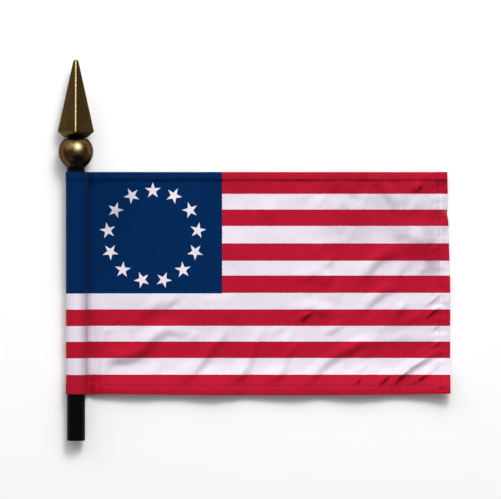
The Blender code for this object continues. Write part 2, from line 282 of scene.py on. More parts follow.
# Printed design: stripes from the lower edge up, canton, ring of stars, and the half width
# of a star's soft edge.
STRIPES = (8.5, 6.83, 7.21, 6.69, 7.35, 6.83, 7.5, 6.5, 7.38, 7.46, 7.09, 6.69, 9.57)
CANTON_WIDTH = 62.7
CANTON_FROM = 43.45
RING_CENTRE = (32.9, 68.2)
RING_RADIUS = 19.5
STAR_COUNT = 13
STAR_RADIUS = 3.55
STAR_INNER_SHARE = 0.382
PRINT_SOFTNESS = 0.06

# Radius of the ring at a pole, which closes by folding onto itself.
POLE_RADIUS = 0.02

# Staff: how far its rings stop short of its foot, rings along it, and its upper end's bevel.
FOOT_INSET = 0.08
STAFF_RINGS = 60
STAFF_BEVEL = 0.2

# Finial: places along the staff from the cloth's lower edge, half widths and radii. A step
# is how far on and how much slimmer a ring is than the ball's last one.
SOCKET_TOP = 106.0
SOCKET_MOUTH = 97.9
SOCKET_ROOM = 0.12
SOCKET_LIP = 0.18
BALL_END = math.radians(138.5)
GROOVE_STEPS = ((0.03, 0.1), (0.05, 0.6), (0.14, 1.3))
GROOVE_DEPTH = 1.3
SPEAR_BASE = 110.3
SPEAR_FOOT = ((-0.03, 3.95), (0.0, 4.6))
SPEAR_FOOT_HALF = 4.9
SPEAR_SHOULDER = 113.0
SPEAR_HALF = 7.78
SPEAR_DEPTH_SHARE = 0.88
BEVEL = 0.16
TIP_START = 142.95
TIP_END = 143.8
TIP_HALF = 1.2

# Painted highlight and wear: the ball's painted highlight spot by place from the ball's
# centre, reach and strength, and how much of a ridge's rounding is lighter, worn and also
# painted highlight.
SPOT = (0.8, 2.15)
SPOT_REACH = 2.9
SPOT_HIGHLIGHT = 0.46
RIDGE_RUB_AND_HIGHLIGHT_WIDTH = 0.55

# Black brass under the spear, partly tarnish in the hollow and partly painted shade, ends
# along two slanted lines from the ridge; on the ball, a patch on the staff's side is a
# painted dark reflection of the staff.
UNDERSIDE_DARK_TOP = 112.7
UNDERSIDE_DARK_SLANT = 0.6
UNDERSIDE_DARK_SOFTNESS = 0.6
PAINTED_REFLECTION_PATCH = (0.9, -5.0)
PAINTED_REFLECTION_PATCH_SIZE = 3.9
REFLECTION_PATCH_CORE = 0.75
REFLECTION_PATCH_SOFTNESS = 0.3

# Soft patches where the cloth is a little darker: x, y, reach, share of the tone lost.
GREYED = (
    (146, 70, 24, 0.27), (118, 74, 18, 0.22), (132, 88, 16, 0.15),
    (152, 56, 12, 0.28), (102, 46, 12, 0.06), (140, 28, 16, 0.08),
    (30, 34, 16, 0.07), (62, 22, 14, 0.05), (14, 10, 12, 0.07),
    (20, 79, 17, 0.3),
)

# Painted shade beside the sleeve's seam, in the valley by the sleeve: the line it is
# measured from, inside the seam; where it begins, is full, starts to end and ends; and its
# depth.
SEAM_SHADE_LINE_INSET = 0.75
SEAM_SHADE_PLACES = (-5.0, -1.2, 0.4, 1.3)
SEAM_SHADE_DEPTH = 0.22

# Painted highlight in a thin line beside the fly hem's stitches, and painted shade along the
# top hem's: distance outwards from the stitches, inner and outer half width, and strength.
FLY_HIGHLIGHT = (0.35, 0.2, 0.6, 0.12)
TOP_SEAM_SHADE = (-0.3, 0.25, 0.85, 0.5)

# Share of a darker patch, and of the painted shade and highlight by the sleeve's seam and
# the fly hem, that printing ink hides.
INK_HIDES_PATCH = 0.7
INK_HIDES_SEAM_LIGHT = 0.8

# Faint yellowish stain at the fly edge: height of its middle, reach, core and colour.
STAIN_HEIGHT = 80.0
STAIN_REACH = 4.5
STAIN_CORE = 0.8
STAIN_COLOUR = (0.7, 0.6, 0.35, 1.0)

# Stitches: sides and rings of a tube; arc and end drop as shares of the thread's radius, the
# arc's share on the back, taper, flatness on face and back, and spread of headings in degrees.
STITCH_SIDES = 6
STITCH_RINGS = 7
STITCH_ARC = 0.55
STITCH_DROP = 1.5
STITCH_BACK_ARC = 0.35
STITCH_TAPER = 0.45
STITCH_FLATNESS = (0.8, 0.35)
STITCH_SLANT = 2.2

# Sides of the turned parts.
FINIAL_SIDES = 96
STAFF_SIDES = 72

# How much brighter than its paint the staff's rubbed spots are.
DUST_GAIN = 5.0

# The photograph's frame, and half the floor's side.
PHOTO_WIDTH_PX = 501
PHOTO_SCALE = 0.43
CAMERA_X = -1.56
CAMERA_Y = 0.3
CAMERA_HEIGHT = 3000.0
SENSOR = 36.0
FLOOR_HALF = 2500.0

# Soft lights: name, place, target and diameter in metres, and the setting of its power.
LIGHTS = (
    ("key_light", (0.2, 0.72, 0.92), (0.0, 0.0, 0.0), 1.3, "key"),
    ("key_core", (0.197, 0.71, 0.907), (0.0, 0.0, 0.0), 0.4, "core"),
    ("side_light", (-0.74, 0.66, 0.46), (-0.03, 0.0, 0.0), 0.95, "side"),
    ("low_light", (-0.34, -0.50, 0.38), (-0.076, 0.04, 0.0), 0.12, "low"),
)


def length_setting(name, description, millimetres):
    """A length that a user can change, given here in millimetres."""
    return FloatProperty(name=name, description=description, default=millimetres * MM,
                         unit="LENGTH", precision=5)


def colour_setting(name, description, colour):
    """A colour that a user can change: linear red, green and blue."""
    return FloatVectorProperty(name=name, description=description, default=colour, size=3,
                               subtype="COLOR", min=0, max=1)


def power_setting(name, description, power):
    """A light's power that a user can change."""
    return FloatProperty(name=name, description=description, default=power, unit="POWER")


class ClothSettings(PropertyGroup):
    """Sizes and colours of the cloth."""

    thickness: length_setting("Thickness", "Thickness of one layer of cloth", 0.14)
    ply_pitch: length_setting("Ply pitch", "Distance between folded layers", 0.155)
    thread_pitch: length_setting("Thread pitch", "Distance between threads of the weave", 0.32)
    red: colour_setting("Red", "Printed red", (0.45, 0.0085, 0.030))
    white: colour_setting("White", "Unprinted cloth", (0.79, 0.725, 0.815))
    navy: colour_setting("Navy", "Printed navy", (0.0005, 0.0205, 0.091))


class ThreadSettings(PropertyGroup):
    """Sizes of the stitches."""

    pitch: length_setting("Stitch pitch", "Distance from stitch to stitch", 2.3)
    length: length_setting("Stitch length", "Length of thread that shows in one stitch", 2.05)
    width: length_setting("Thread width", "Diameter of the thread", 0.3)


class StaffSettings(PropertyGroup):
    """Finish of the staff."""

    paint: colour_setting("Paint", "Black paint", (0.0013, 0.0016, 0.0017))
    foot_rounding: length_setting("Foot rounding", "Radius of the sawn foot's broken edge", 0.3)


class FinialSettings(PropertyGroup):
    """Finish of the finial."""

    brass: colour_setting("Dark brass", "Antique brass in the flats", (0.105, 0.056, 0.013))
    # The rubbed colour is also that of the painted highlight on the ridges and the ball.
    rubbed: colour_setting("Rubbed brass", "Brighter brass on rubbed edges", (0.48, 0.38, 0.19))
    # This dark colour is also that of the painted shade under the spear and of the painted dark
    # reflection on the ball.
    patina: colour_setting("Patina", "Blackened brass where nothing rubs it",
                           (0.012, 0.009, 0.006))
    ridge_radius: length_setting("Ridge radius", "Rounding of the spear's four ridges", 0.7)


class StageSettings(PropertyGroup):
    """Floor and studio light."""

    floor: colour_setting("Floor", "Colour of the floor", (0.98, 0.98, 0.982))
    key: power_setting("Key light", "Power of the large soft light", 8.2)
    core: power_setting("Key core", "Power of the brighter middle of the soft light", 6.6)
    side: power_setting("Side light", "Power of the soft light beside the staff", 3.2)
    low: power_setting("Low light", "Power of the small low light", 0.15)
    sky: FloatProperty(
        name="Sky", description="Strength of the even light all round", default=0.23)


def smooth_step(t):
    """Rise from 0 to 1 with level ends."""
    t = np.clip(t, 0.0, 1.0)
    return t * t * (3.0 - 2.0 * t)


def axis_height(y):
    """Height of the staff's axis over the surface, y from the cloth's lower edge."""
    return SLEEVE_OUTER_RADIUS + SLOPE * y


def smooth_line(points, steps=6):
    """Catmull-Rom curve through the points: each span is a cubic whose ends have the
    direction from the point before to the point after."""
    points = np.array(points, float)
    first = 2 * points[:1] - points[1:2]
    last = 2 * points[-1:] - points[-2:-1]
    p = np.concatenate((first, points, last))
    t = np.linspace(0, 1, steps, endpoint=False)[None, :, None]
    a, b, c, d = (p[i:len(p) - 3 + i, None, :] for i in range(4))
    spans = 0.5 * (2 * b + (c - a) * t + (2 * a - 5 * b + 4 * c - d) * t ** 2
                   + (3 * b - a - 3 * c + d) * t ** 3)
    return np.concatenate((spans.reshape(-1, 2), points[-1:]))


def line_distance(x, y, line):
    """Distance of each place to the line, how far along it the nearest place is, 0 to 1,
    and on which side of it the place lies, 1 for the left."""
    starts = line[:-1]
    steps = line[1:] - starts
    lengths = np.hypot(steps[:, 0], steps[:, 1])
    run = np.concatenate(([0.0], np.cumsum(lengths)))
    best = np.full(x.shape, np.inf)
    along = np.zeros(x.shape)
    side = np.ones(x.shape)
    for start, step, length, before in zip(starts, steps, lengths, run):
        share = ((x - start[0]) * step[0] + (y - start[1]) * step[1]) / length ** 2
        share = np.clip(share, 0.0, 1.0)
        distance = np.hypot(x - start[0] - share * step[0], y - start[1] - share * step[1])
        nearer = distance < best
        best = np.where(nearer, distance, best)
        along = np.where(nearer, (before + share * length) / run[-1], along)
        left = step[0] * (y - start[1]) - step[1] * (x - start[0])
        side = np.where(nearer, np.sign(left), side)
    return best, along, side


def ridge_field(x, y, ridges):
    """Height of a set of ridges: along each smooth line a ridge whose section is a raised
    cosine, steeper on its right, lower towards the line's ends. Where two meet the higher
    one counts."""
    height = np.zeros_like(x)
    for points, half_width, rise in ridges:
        distance, along, side = line_distance(x, y, smooth_line(points))
        fade = CREASE_END_SHARE + (1 - CREASE_END_SHARE) * np.sin(math.pi * along)
        reach = half_width * np.where(side > 0, 1.0, STEEP_SIDE_SHARE)
        across = np.clip(distance / reach, 0.0, 1.0)
        ridge = rise * fade * 0.5 * (1.0 + np.cos(math.pi * across))
        height = np.maximum(height, ridge)
    return height


def lift_field(x, y, lifts):
    """Height of the places that lift off the surface: round swells with level tops."""
    height = np.zeros_like(x)
    for centre_x, centre_y, reach, rise in lifts:
        far = np.hypot(x - centre_x, y - centre_y) / reach
        height += rise * (1.0 - smooth_step(far))
    return height


def ripple_field(x, y):
    """Slight unevenness of used cloth: a sum of low waves in set directions, long ones all
    over and short ones, gathered in patches, over the outer half."""
    rng = np.random.default_rng(13)
    fields = []
    for count, wavelengths, spread, share in RIPPLES:
        height = np.zeros_like(x)
        for _ in range(count):
            wavelength = rng.uniform(*wavelengths)
            heading = math.radians(rng.normal(RIPPLE_HEADING, spread))
            phase = rng.uniform(0, 2 * math.pi)
            run = x * math.cos(heading) + y * math.sin(heading)
            height += share * (wavelength * np.sin(2 * math.pi * run / wavelength + phase))
        fields.append(height)
    outer = SHORT_INNER_SHARE + (1 - SHORT_INNER_SHARE) * smooth_step(
        (x - SHORT_FROM) / SHORT_RUN)
    gathered = 0.5 + 0.5 * np.sin(x / 9.0 + 1.3 * np.sin(y / 11.0)) * np.sin(y / 13.0 + 0.6)
    return fields[0] + fields[1] * outer * gathered


def layer_count(distance_inside):
    """Layers in the stack near a turned edge: three inside it, one outside, softly."""
    return 1.0 + 2.0 * smooth_step(0.5 + distance_inside / HEM_SOFTNESS)


def layers_across(x):
    """Layers that the sleeve's flap and the fly hem put at x."""
    flap = layer_count(FLAP_END + HEM_MARGIN - x)
    fly = layer_count(x - (FLY_REACH - FLY_HEM - HEM_MARGIN))
    return np.maximum(flap, fly)


def layers_along(y):
    """Layers that the top and bottom hems put at y."""
    low = layer_count(BOTTOM_HEM + HEM_MARGIN - y)
    high = layer_count(y - (FLAG_HEIGHT - TOP_HEM - HEM_MARGIN))
    return np.maximum(low, high)


def layers_beneath(x, y, settings):
    """Height of the layers beneath the upper one."""
    return settings.ply_pitch / MM * (layers_across(x) * layers_along(y) - 1.0)


def stitch_lines():
    """The three hem seams and the sleeve's seam, each as its two ends."""
    low = BOTTOM_HEM - STITCH_INSET
    high = FLAG_HEIGHT - TOP_HEM + STITCH_INSET
    fly = FLY_REACH - FLY_HEM + STITCH_INSET
    near = FLAP_END + HEM_SEAM_START
    sleeve = SEAM_X + SLEEVE_STITCH_INSET
    return (
        ((near, low), (fly, low)),
        ((near, high), (fly, high)),
        ((fly, FLY_SEAM_END), (fly, FLAG_HEIGHT - FLY_SEAM_END)),
        ((sleeve, SLEEVE_SEAM_END), (sleeve, FLAG_HEIGHT - SLEEVE_SEAM_END)),
    )


def seam_field(x, y):
    """Sewing pulls the cloth down along each seam and gathers it a little beside it."""
    height = np.zeros_like(x)
    for number, (start, end) in enumerate(stitch_lines()):
        gather = SEAM_GATHERS[number]
        line = np.array((start, end), float)
        distance, along, _ = line_distance(x, y, line)
        run = along * np.hypot(*(line[1] - line[0]))
        waves = sum(np.sin(run * rate + step * number + shift)
                    for rate, step, shift in GATHER_WAVES)
        height += gather * waves * np.exp(-(distance / GATHER_REACH) ** 2)
        height += SEAM_SHOULDER[0] * np.exp(-(distance / SEAM_SHOULDER[1]) ** 2)
        height -= SEAM_GROOVE[0] * np.exp(-(distance / SEAM_GROOVE[1]) ** 2)
    return height


def top_layer_height(x, y, settings):
    """Height of the middle of the upper layer: layers beneath it, creases and lifts.

    A smooth maximum with the surface keeps the cloth level where it rests.
    """
    relief = CREASE_GAIN * ridge_field(x, y, CREASES)
    relief += WRINKLE_GAIN * ridge_field(x, y, WRINKLES) + ridge_field(x, y, PINCHES)
    relief += lift_field(x, y, LIFTS + SWELLS) + ripple_field(x, y) - RELIEF_SINK
    relief += EDGE_CURL * (1.0 - smooth_step(y / EDGE_CURL_REACH))
    relief *= smooth_step((x - RELIEF_FROM) / RELIEF_RUN)
    raised = 0.5 * (relief + np.sqrt(relief ** 2 + REST_SOFTNESS ** 2))
    raised = np.maximum(raised + seam_field(x, y), 0)
    stack = layers_beneath(x, y, settings)
    return settings.thickness / MM / 2 + UNDER_CLEARANCE + stack + raised


def pinch_shade(x, y):
    """Painted shade on the shaded side of each pinch: a narrow bell curve just right of its
    line, nothing at the line's ends."""
    marks = np.zeros_like(x)
    for points, _, rise in PINCHES:
        distance, along, side = line_distance(x, y, smooth_line(points))
        bell = np.exp(-((distance * side + PINCH_SHADE_SHIFT) / PINCH_SHADE_WIDTH) ** 2)
        marks = np.maximum(marks, bell * np.sin(math.pi * along) * rise / PINCH_SHADE_FULL_RISE)
    return np.clip(marks, 0.0, 1.0)


def edge_sag(x, y):
    """How far the lower edge and the cloth near it lie off a straight line."""
    near = np.exp(-(np.maximum(y, 0) / EDGE_SAG_REACH) ** 2)
    return near * np.interp(x, EDGE_SAG_X, EDGE_SAG_Y)


def fly_pull(x, y):
    """How far the cloth is drawn in near its slanted fly edge and the nick in it."""
    slant = FLY_SLANT * np.clip((y - FLY_SLANT_FROM) / (FLAG_HEIGHT - FLY_SLANT_FROM), 0, 1)
    nick = NICK_DEPTH * np.exp(-((y - NICK_HEIGHT) / NICK_HALF_LENGTH) ** 2)
    share = np.clip(x / FLY_REACH, 0, 1)
    return slant * share + nick * share ** NICK_FALL


def half_turn(centre, radius, start, steps):
    """Places on a clockwise half circle, without its end."""
    angle = start - math.pi * np.arange(steps) / steps
    return centre[0] + radius * np.cos(angle), centre[1] + radius * np.sin(angle)


def long_hem_path(ply, height_rows):
    """The cut cloth's way from raw edge to raw edge across the two long hems.

    Gives y and the offset behind the face of each row: middle layer, half turn, back
    layer, half turn, the open cloth, and the same again in mirror image.
    """
    up, down = math.pi / 2, -math.pi / 2
    low = BOTTOM_HEM - ply / 2
    high = FLAG_HEIGHT - TOP_HEM + ply / 2
    end = FLAG_HEIGHT - ply
    parts = (
        (np.linspace(RAW_EDGE_INSET, low, 4, endpoint=False), np.full(4, -ply)),
        half_turn((low, -1.5 * ply), ply / 2, up, 5),
        (np.linspace(low, ply, 4, endpoint=False), np.full(4, -2 * ply)),
        half_turn((ply, -ply), ply, down, 6),
        (height_rows, np.zeros(len(height_rows))),
        half_turn((end, -ply), ply, up, 6),
        (np.linspace(end, high, 4, endpoint=False), np.full(4, -2 * ply)),
        half_turn((high, -1.5 * ply), ply / 2, down, 5),
        (np.linspace(high, FLAG_HEIGHT - RAW_EDGE_INSET, 4), np.full(4, -ply)),
    )
    y, offset = zip(*parts)
    return np.concatenate(y), np.concatenate(offset)


def spaced_rows(ply):
    """Rows of the open cloth, closer together in the creased lower half."""
    lower = np.linspace(ply, ROWS_MEET, LOWER_ROWS, endpoint=False)
    upper = np.linspace(ROWS_MEET, FLAG_HEIGHT - ply, UPPER_ROWS, endpoint=False)
    return np.concatenate((lower, upper))


def bezier(points, steps):
    """Places and normals on a cubic Bezier curve, without its end; each control point may
    be a column of values, one for each row."""
    t = (np.arange(steps) / steps)[:, None]
    weights = ((1 - t) ** 3, 3 * t * (1 - t) ** 2, 3 * t ** 2 * (1 - t), t ** 3)
    slopes = (-3 * (1 - t) ** 2, 3 * (1 - t) ** 2 - 6 * t * (1 - t),
              6 * t * (1 - t) - 3 * t ** 2, 3 * t ** 2)
    x = sum(w * p[0] for w, p in zip(weights, points))
    z = sum(w * p[1] for w, p in zip(weights, points))
    run_x = sum(w * p[0] for w, p in zip(slopes, points))
    run_z = sum(w * p[1] for w, p in zip(slopes, points))
    return x, z, np.arctan2(run_x, -run_z)


def cloth_middle(settings):
    """Places of the cloth's middle surface on the grid of its flat cut.

    Across, the cut goes from the flap's raw edge through two half turns and under the
    staff, round it, down to the seam, out to the fly edge and through its two half turns.
    Along, it follows the long hems. A column's section lies in the plane of x and height,
    and the long hems' layers are offsets along that section's normal.
    """
    ply = settings.ply_pitch / MM
    y_rows, behind = long_hem_path(ply, spaced_rows(ply))
    rows = len(y_rows)
    count = layers_along(y_rows)
    height = axis_height(y_rows)
    radius = STAFF_RADIUS + SLEEVE_ROOM + SLEEVE_LAYER * (count - 1.0)
    inner_turn = (2 * count - 1) * ply / 2
    outer_turn = (3 * count - 1) * ply / 2
    middle = -count * ply
    back = -(3 * count - 1) * ply

    def top(x):
        return top_layer_height(x, np.broadcast_to(y_rows, x.shape), settings)

    def level(start, end, below, facing, steps, last=False):
        share = np.linspace(0, 1, steps, endpoint=last)[:, None]
        x = start + share * (end - start) + np.zeros((1, rows))
        return x, top(x) + below, np.full(x.shape, facing)

    def turn(centre_x, centre_z, turn_radius, start, steps):
        angle = (start - math.pi * np.arange(steps) / steps)[:, None]
        x = centre_x + turn_radius * np.cos(angle)
        return x, top(x) + centre_z + turn_radius * np.sin(angle), angle + np.zeros(rows)

    def on_sleeve(angle, further=0.0):
        x = radius * np.cos(angle) + further * np.sin(angle)
        return x, height + radius * np.sin(angle) - further * np.cos(angle)

    up, down = math.pi / 2, -math.pi / 2
    flap_centre = FLAP_END - inner_turn
    fly_centre = FLY_REACH - outer_turn
    hem_centre = FLY_REACH - FLY_HEM + inner_turn
    parts = [
        level(FLAP_RAW_EDGE, flap_centre, middle, up, 4),
        turn(flap_centre, middle - inner_turn, inner_turn, up, 5),
        level(flap_centre, SEAM_X, back, down, 5),
    ]

    leave = math.radians(SLEEVE_LEAVES)
    meet = math.radians(SLEEVE_MEETS - 360.0)
    seam_top = top(np.full((1, rows), SEAM_X))[0]
    seam_back = seam_top + back
    parts.append(bezier((
        (SEAM_X, seam_back),
        (SEAM_X - LOWER_HANDLES[0], seam_back),
        on_sleeve(leave, -LOWER_HANDLES[1]),
        on_sleeve(leave)), 10))
    angle = np.linspace(leave, meet, SLEEVE_COLUMNS, endpoint=False)[:, None]
    parts.append((*on_sleeve(angle), angle + np.zeros(rows)))
    parts.append(bezier((
        on_sleeve(meet),
        on_sleeve(meet, UPPER_HANDLES[1]),
        (SEAM_X - UPPER_HANDLES[0], seam_top + UPPER_RISE),
        (SEAM_X, seam_top)), 12))

    edges = (SEAM_X, *PANEL_MEETS, fly_centre)
    parts += [level(edges[i], edges[i + 1], 0.0, up, PANEL_COLUMNS[i]) for i in range(3)]
    parts += [
        turn(fly_centre, -outer_turn, outer_turn, up, 6),
        level(fly_centre, hem_centre, back, down, 5),
        turn(hem_centre, back + inner_turn, inner_turn, down, 5),
        level(hem_centre, FLY_REACH - FLY_RAW_EDGE_INSET, middle, up, 4, last=True),
    ]
    x, z, facing = (np.concatenate([part[i] for part in parts]) for i in range(3))
    x = x + np.cos(facing) * behind
    z = z + np.sin(facing) * behind
    y = np.broadcast_to(y_rows, x.shape)
    y, x = y + edge_sag(x, y), x - fly_pull(x, y)
    return np.stack((x + AXIS_X, y + BOTTOM_Y, z), axis=-1)


def surface_normals(grid):
    """Unit normals of a grid of places: the cross product of its two directions."""
    along_u = np.gradient(grid, axis=0)
    along_v = np.gradient(grid, axis=1)
    normal = np.cross(along_u, along_v)
    return normal / np.maximum(np.linalg.norm(normal, axis=-1, keepdims=True), 1e-12)


def grid_faces(rows, columns, first=0, flip=False):
    """Quads of a grid of vertices numbered row by row from first."""
    index = first + np.arange(rows * columns).reshape(rows, columns)
    quads = np.stack((index[:-1, :-1], index[1:, :-1], index[1:, 1:], index[:-1, 1:]), -1)
    quads = quads.reshape(-1, 4)
    return quads[:, ::-1] if flip else quads


def make_mesh_object(name, points_mm, faces, material):
    """A smooth-shaded object from arrays of places in millimetres and of quads."""
    mesh = bpy.data.meshes.new(name)
    mesh.from_pydata((points_mm * MM).tolist(), [], faces.tolist())
    mesh.shade_smooth()
    mesh.materials.append(material)
    mesh.update()
    obj = bpy.data.objects.new(name, mesh)
    bpy.context.collection.objects.link(obj)
    return obj


def closed_sheet(middle, thickness):
    """Front and back of a grid set half the thickness off it, joined round its border."""
    rows, columns = middle.shape[:2]
    normal = surface_normals(middle)
    front = middle + normal * thickness / 2
    rear = middle - normal * thickness / 2
    points = np.concatenate((front.reshape(-1, 3), rear.reshape(-1, 3)))
    count = rows * columns
    index = np.arange(count).reshape(rows, columns)
    border = np.concatenate((index[:-1, 0], index[-1, :-1], index[:0:-1, -1], index[0, :0:-1]))
    after = np.roll(border, -1)
    rim = np.stack((border, border + count, after + count, after), -1)
    faces = np.concatenate((
        grid_faces(rows, columns), grid_faces(rows, columns, count, flip=True), rim))
    return points, faces


def cut_coordinates(middle):
    """Distance of each column and row along the flat cut, measured on the middle surface."""
    across = np.linalg.norm(np.diff(middle[:, middle.shape[1] // 2], axis=0), axis=-1)
    along = np.linalg.norm(np.diff(middle[middle.shape[0] // 2], axis=0), axis=-1)
    return (np.concatenate(([0.0], np.cumsum(across))),
            np.concatenate(([0.0], np.cumsum(along))))


def set_cut_map(obj, across, along):
    """A UV map that holds the flat cut, its longer side one unit."""
    u, v = np.meshgrid(across / across[-1], along / across[-1], indexing="ij")
    flat = np.stack((u, v), -1).reshape(-1, 2)
    flat = np.concatenate((flat, flat))
    corner = np.zeros(len(obj.data.loops), np.int32)
    obj.data.loops.foreach_get("vertex_index", corner)
    layer = obj.data.uv_layers.new(name="flat_cut")
    layer.data.foreach_set("uv", flat[corner].astype(np.float32).ravel())


def stitch_places(thread):
    """Middle, heading and side of every stitch: 1 for the face, -1 for the back, where each
    stitch lies half a stitch further on."""
    pitch = thread.pitch / MM
    half = thread.length / MM / 2
    centres, headings, sides = [], [], []
    for start, end in stitch_lines():
        start, end = np.array(start), np.array(end)
        length = np.hypot(*(end - start))
        heading = (end - start) / length
        places = np.arange(pitch / 2, length - half, pitch)
        for side, shift in ((1.0, 0.0), (-1.0, pitch / 2)):
            run = places + shift
            run = run[run < length - half]
            centres.append(start + run[:, None] * heading)
            headings.append(np.broadcast_to(heading, (len(run), 2)))
            sides.append(np.full(len(run), side))
    centres, (x, y) = np.concatenate(centres), np.concatenate(headings).T
    sides = np.concatenate(sides)
    rng = np.random.default_rng(5)
    slant = np.radians(rng.normal(0.0, STITCH_SLANT, len(sides)))
    headings = np.stack((x * np.cos(slant) - y * np.sin(slant),
                         x * np.sin(slant) + y * np.cos(slant)), -1)
    return centres, headings, sides


def stitch_tubes(settings, thread):
    """Places of all stitches: each is a tube of tapering radius along a low arc between two
    needle holes."""
    centres, headings, sides = stitch_places(thread)
    half = thread.length / MM / 2
    radius = thread.width / MM / 2
    along = np.linspace(-1, 1, STITCH_RINGS)
    turn = 2 * math.pi * np.arange(STITCH_SIDES) / STITCH_SIDES
    spot = centres[:, None, :] + (along * half)[None, :, None] * headings[:, None, :]
    x, y = spot[..., 0], spot[..., 1]
    top = top_layer_height(x, y, settings)
    skin = settings.thickness / MM / 2
    arc = STITCH_ARC * radius - STITCH_DROP * radius * along ** 4
    upper = top + skin + arc
    under = top - layers_beneath(x, y, settings) - skin - STITCH_BACK_ARC * arc
    z = np.where(sides[:, None] > 0, upper, under)
    taper = radius * (1.0 - STITCH_TAPER * along ** 4)
    flat = np.where(sides > 0, *STITCH_FLATNESS)[:, None, None]
    side_step = (taper[:, None] * np.cos(turn))[None]
    x = x[..., None] - side_step * headings[:, 1, None, None]
    y = y[..., None] + side_step * headings[:, 0, None, None]
    z = z[..., None] + flat * (taper[:, None] * np.sin(turn))[None]
    return np.stack((x + AXIS_X - fly_pull(x, y), y + BOTTOM_Y + edge_sag(x, y), z), -1)


def tube_faces(count, rings, sides):
    """Quads of many like tubes, with each end closed by folding its ring onto itself."""
    ring = np.arange(rings * sides).reshape(rings, sides)
    after = np.roll(ring, -1, axis=1)
    skin = np.stack((ring[:-1], ring[1:], after[1:], after[:-1]), -1).reshape(-1, 4)
    k = np.arange(sides // 2 - 1)
    fold = np.stack((k, k + 1, sides - 2 - k, sides - 1 - k), -1)
    one = np.concatenate((skin, ring[0][fold], ring[-1][fold][:, ::-1]))
    return (one[None] + (np.arange(count) * rings * sides)[:, None, None]).reshape(-1, 4)


def side_share(sides):
    """Place of each of a ring's vertices in its quarter of the ring, -1 to 1."""
    quarter = sides // 4
    return (np.arange(sides) % quarter + 0.5) / quarter * 2.0 - 1.0


def turned_rings(along, half_width, depth, rounding, sides):
    """Rings across the staff's axis, leaned with it and put in their place.

    Each is a rhombus whose four corners are arcs of the rounding radius. Where that radius
    is the half width the ring is a circle.
    """
    half_width, depth = np.asarray(half_width)[:, None], np.asarray(depth)[:, None]
    rounding = np.asarray(rounding)[:, None]
    corner_x = np.maximum(half_width - rounding, 0.0)
    corner_z = np.maximum(depth - rounding, 0.0)
    side_normal = np.arctan2(corner_x + 1e-6, corner_z + 1e-6)
    share = side_share(sides)[:sides // 4]
    x, z = [], []
    for number, (to_x, to_z) in enumerate(((1, 0), (0, 1), (-1, 0), (0, -1))):
        spread = math.pi / 2 - side_normal if to_z else side_normal
        angle = number * math.pi / 2 + spread * share[None, :]
        x.append(to_x * corner_x + rounding * np.cos(angle))
        z.append(to_z * corner_z + rounding * np.sin(angle))
    x, z = np.concatenate(x, axis=1), np.concatenate(z, axis=1)
    y = np.broadcast_to(np.asarray(along)[:, None], x.shape)
    placed_y = y * math.cos(LEAN) - z * math.sin(LEAN) + BOTTOM_Y
    placed_z = y * math.sin(LEAN) + z * math.cos(LEAN) + axis_height(0.0)
    return np.stack((x + AXIS_X, placed_y, placed_z), -1)


def staff_profile(settings):
    """Distance along the axis and radius of each ring of the staff: a square sawn foot
    with a broken edge, a straight dowel, and the end inside the finial."""
    foot = (STAFF_LOW[1] - BOTTOM_Y) / math.cos(LEAN) + FOOT_INSET
    top = (STAFF_HIGH[1] - BOTTOM_Y) / math.cos(LEAN)
    rounding = settings.foot_rounding / MM
    turn = np.linspace(0, math.pi / 2, 6)
    along = np.concatenate((
        np.full(4, foot), foot + rounding * (1 - np.cos(turn)),
        np.linspace(foot + 1.0, top - STAFF_BEVEL, STAFF_RINGS), [top]))
    radius = np.concatenate((
        np.linspace(POLE_RADIUS, STAFF_RADIUS - rounding - 0.15, 4),
        STAFF_RADIUS - rounding + rounding * np.sin(turn),
        np.full(STAFF_RINGS, STAFF_RADIUS), [STAFF_RADIUS - STAFF_BEVEL]))
    return along, radius


